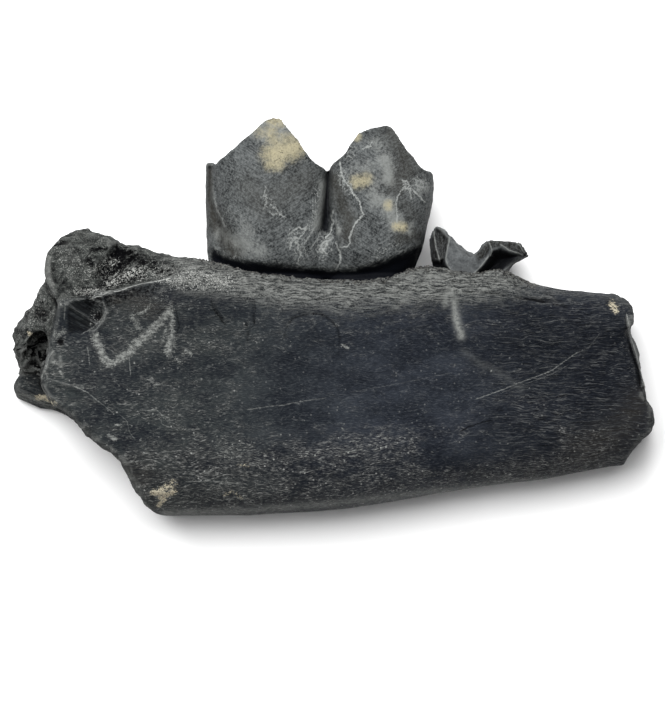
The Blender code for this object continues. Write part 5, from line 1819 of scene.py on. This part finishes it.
@dataclass
class CrumbField:
    """Small angular crumbs scattered over part of the bone.

    Args:
        place: Which of the two places it fills.
        density: Crumbs in a square millimetre where the bone is marked most strongly.
        size: The radius of the largest crumb.
        seed: The scatter's seed.
        finish: The crumbs' finish.
        dent: How far a crumb's corners stray, as a share of its radius.
        smallest: The sides of the smallest crumb, as shares of the largest one's radius.
        largest: The sides of the largest crumb, in the same way.
    """

    place: Crumbs
    density: float
    size: float
    seed: int
    finish: Material
    dent: float = 0.35
    smallest: Triple = (0.3, 0.2, 0.2)
    largest: Triple = (1.0, 0.7, 0.7)
    full_turn: float = 6.28

    def build(self, bone: Piece) -> Piece:
        """Scatters the crumbs where the bone is marked for them, and returns them as one plain mesh."""
        host = link(self.place.value, bone.data.copy())
        modifier = host.modifiers.new("Crumbs", "NODES")
        modifier.node_group = self.tree()
        values = {"Density": self.density / MM**2, "Size": self.size * MM, "Seed": self.seed}
        for item in modifier.node_group.interface.items_tree:
            if item.in_out == "INPUT" and item.name in values:
                modifier[item.identifier] = values[item.name]
        return bake(host)

    def tree(self) -> bpy.types.NodeTree:
        """Builds the scatter: points on faces, an angular crumb on each, all made real."""
        tree = bpy.data.node_groups.new(self.place.value, "GeometryNodeTree")
        for name, kind in (("Bone", "Geometry"), ("Density", "Float"), ("Size", "Float"), ("Seed", "Int")):
            tree.interface.new_socket(name, in_out="INPUT", socket_type="NodeSocket" + kind)
        tree.interface.new_socket("Crumbs", in_out="OUTPUT", socket_type="NodeSocketGeometry")

        def add(kind: str, inputs: dict[Any, Any] | None = None, **settings: Any) -> Any:
            """Adds a node with its settings, then its values and links, and returns its outputs."""
            made = tree.nodes.new(kind)
            for name, value in settings.items():
                setattr(made, name, value)
            for name, value in (inputs or {}).items():
                if isinstance(value, bpy.types.NodeSocket):
                    tree.links.new(value, made.inputs[name])
                else:
                    made.inputs[name].default_value = value
            return made.outputs

        def between(low: Sequence[float], high: Sequence[float]) -> bpy.types.NodeSocket:
            """A random vector between two corners, another one for each point."""
            return add("FunctionNodeRandomValue", {0: low, 1: high}, data_type="FLOAT_VECTOR")[0]

        given = add("NodeGroupInput")
        share = add("GeometryNodeInputNamedAttribute", {"Name": self.place.value}, data_type="FLOAT")
        density = add("ShaderNodeMath", {0: given["Density"], 1: share["Attribute"]}, operation="MULTIPLY")
        spread = {"Mesh": given["Bone"], "Density": density[0], "Seed": given["Seed"]}
        points = add("GeometryNodeDistributePointsOnFaces", spread, distribute_method="RANDOM")
        ball = add("GeometryNodeMeshIcoSphere", {"Radius": 1.0, "Subdivisions": 1})
        dents = between((-self.dent,) * 3, (self.dent,) * 3)
        crumb = add("GeometryNodeSetPosition", {"Geometry": ball["Mesh"], "Offset": dents})
        sides = {0: between(self.smallest, self.largest), "Scale": given["Size"]}
        scale = add("ShaderNodeVectorMath", sides, operation="SCALE")
        turn = between((0.0,) * 3, (self.full_turn,) * 3)
        placed = {"Points": points["Points"], "Instance": crumb["Geometry"], "Scale": scale[0]}
        copies = add("GeometryNodeInstanceOnPoints", {**placed, "Rotation": turn})
        real = add("GeometryNodeRealizeInstances", {"Geometry": copies["Instances"]})
        dressed = add("GeometryNodeSetMaterial", {"Geometry": real["Geometry"], "Material": self.finish})
        add("NodeGroupOutput", {"Crumbs": dressed["Geometry"]})
        return tree


def mark_crumb_places(bone: JawBone) -> None:
    """Marks on the bone where its crumbs lie: along the tooth rim, and in the hollow of the spongy end."""
    skin = Skin(bone.obj)
    x, y, z = skin.points.T
    rim = ease(1 - np.abs(bone.below_rim - 0.15) / 0.7) * rise(x, -17, 3) * rise(x, 24, -2) * (z > 8.5)
    patches = rise(Field(2.5, 91).smooth(skin.points), -0.2, 0.5)
    grit = bone.core * rise(skin.hollows(6), 0.02, 0.1) * (z > 4)
    skin.mark(**{Crumbs.SOCKET_RIM.value: rim * (0.3 + 0.7 * patches), Crumbs.MARROW.value: grit})


# ---- studio


@dataclass(frozen=True)
class Studio:
    """A plain white floor, one soft light from the crown side, an even white room and the camera above."""

    floor_side: float = 1600.0
    floor_white: float = 0.915
    key_place: Triple = (-115.0, 290.0, 620.0)
    key_side: float = 600.0
    key_power: float = 11.9
    room: float = 0.27
    camera_place: Triple = (0.056, -3.70, 1208.0)
    frame_long_side: float = 80.9
    frame_height: float = 8.0
    sensor: float = 36.0

    def build(self) -> None:
        """Makes the floor, the light, the room and the camera."""
        self.floor()
        self.key_light()
        self.room_light()
        self.camera()

    def floor(self) -> None:
        """The plain floor."""
        half = self.floor_side / 2 * MM
        mesh = bpy.data.meshes.new("floor")
        corners = [(-half, -half, 0), (half, -half, 0), (half, half, 0), (-half, half, 0)]
        mesh.from_pydata(corners, [], [(0, 1, 2, 3)])
        shader = Shader("white_paper")
        shader.fix(Base_Color=(self.floor_white,) * 3, Roughness=0.9, Specular_IOR_Level=0.1)
        mesh.materials.append(shader.material)
        link("floor", mesh)

    def key_light(self) -> None:
        """The soft light from the crown side."""
        data = bpy.data.lights.new("key", "AREA")
        data.energy = self.key_power
        data.size = self.key_side * MM
        lamp = link("key", data)
        lamp.location = Vector(self.key_place) * MM
        lamp.rotation_euler = (-lamp.location).to_track_quat("-Z", "Y").to_euler()

    def room_light(self) -> None:
        """The even white room."""
        world = bpy.data.worlds.new("room")
        world.use_nodes = True
        background = world.node_tree.nodes["Background"]
        background.inputs["Color"].default_value = (1, 1, 1, 1)
        background.inputs["Strength"].default_value = self.room
        bpy.context.scene.world = world

    def camera(self) -> None:
        """The camera, straight above the jaw."""
        data = bpy.data.cameras.new("camera")
        distance = self.camera_place[2] - self.frame_height
        data.sensor_width = self.sensor
        data.lens = self.sensor * distance / self.frame_long_side
        data.clip_start, data.clip_end = 0.05, 10
        camera = link("camera", data)
        camera.location = Vector(self.camera_place) * MM
        bpy.context.scene.camera = camera
        bpy.context.scene.view_settings.view_transform = "Standard"


# ---- main


def settle(obj: Piece, slot: str, *nodes: str) -> None:
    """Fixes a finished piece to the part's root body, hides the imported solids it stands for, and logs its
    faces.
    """
    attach(obj, ROOT_BODY)
    if nodes:
        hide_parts(*nodes)
    log.info("%s: %d faces", obj.name, len(obj.data.polygons))


def main() -> None:
    """Builds every piece and the studio."""
    logging.basicConfig(level=logging.INFO, format="%(name)s: %(message)s")
    coarser = 1.0
    bone = JawBone(coarser)
    settle(bone.build(), "mandible", "mandible")
    settle(Molar(coarser).build(), "molar", "molar")
    settle(BrokenMolar(coarser).build(), "broken_molar", "broken_molar")
    mark_crumb_places(bone)
    dry = CrumbFinish().material()
    settle(CrumbField(Crumbs.SOCKET_RIM, 9.0, 0.26, 5, dry).build(bone.obj), "mandible")
    settle(CrumbField(Crumbs.MARROW, 3.0, 0.22, 6, dry).build(bone.obj), "mandible")
    Studio().build()


if __name__ == "__main__":
    main()
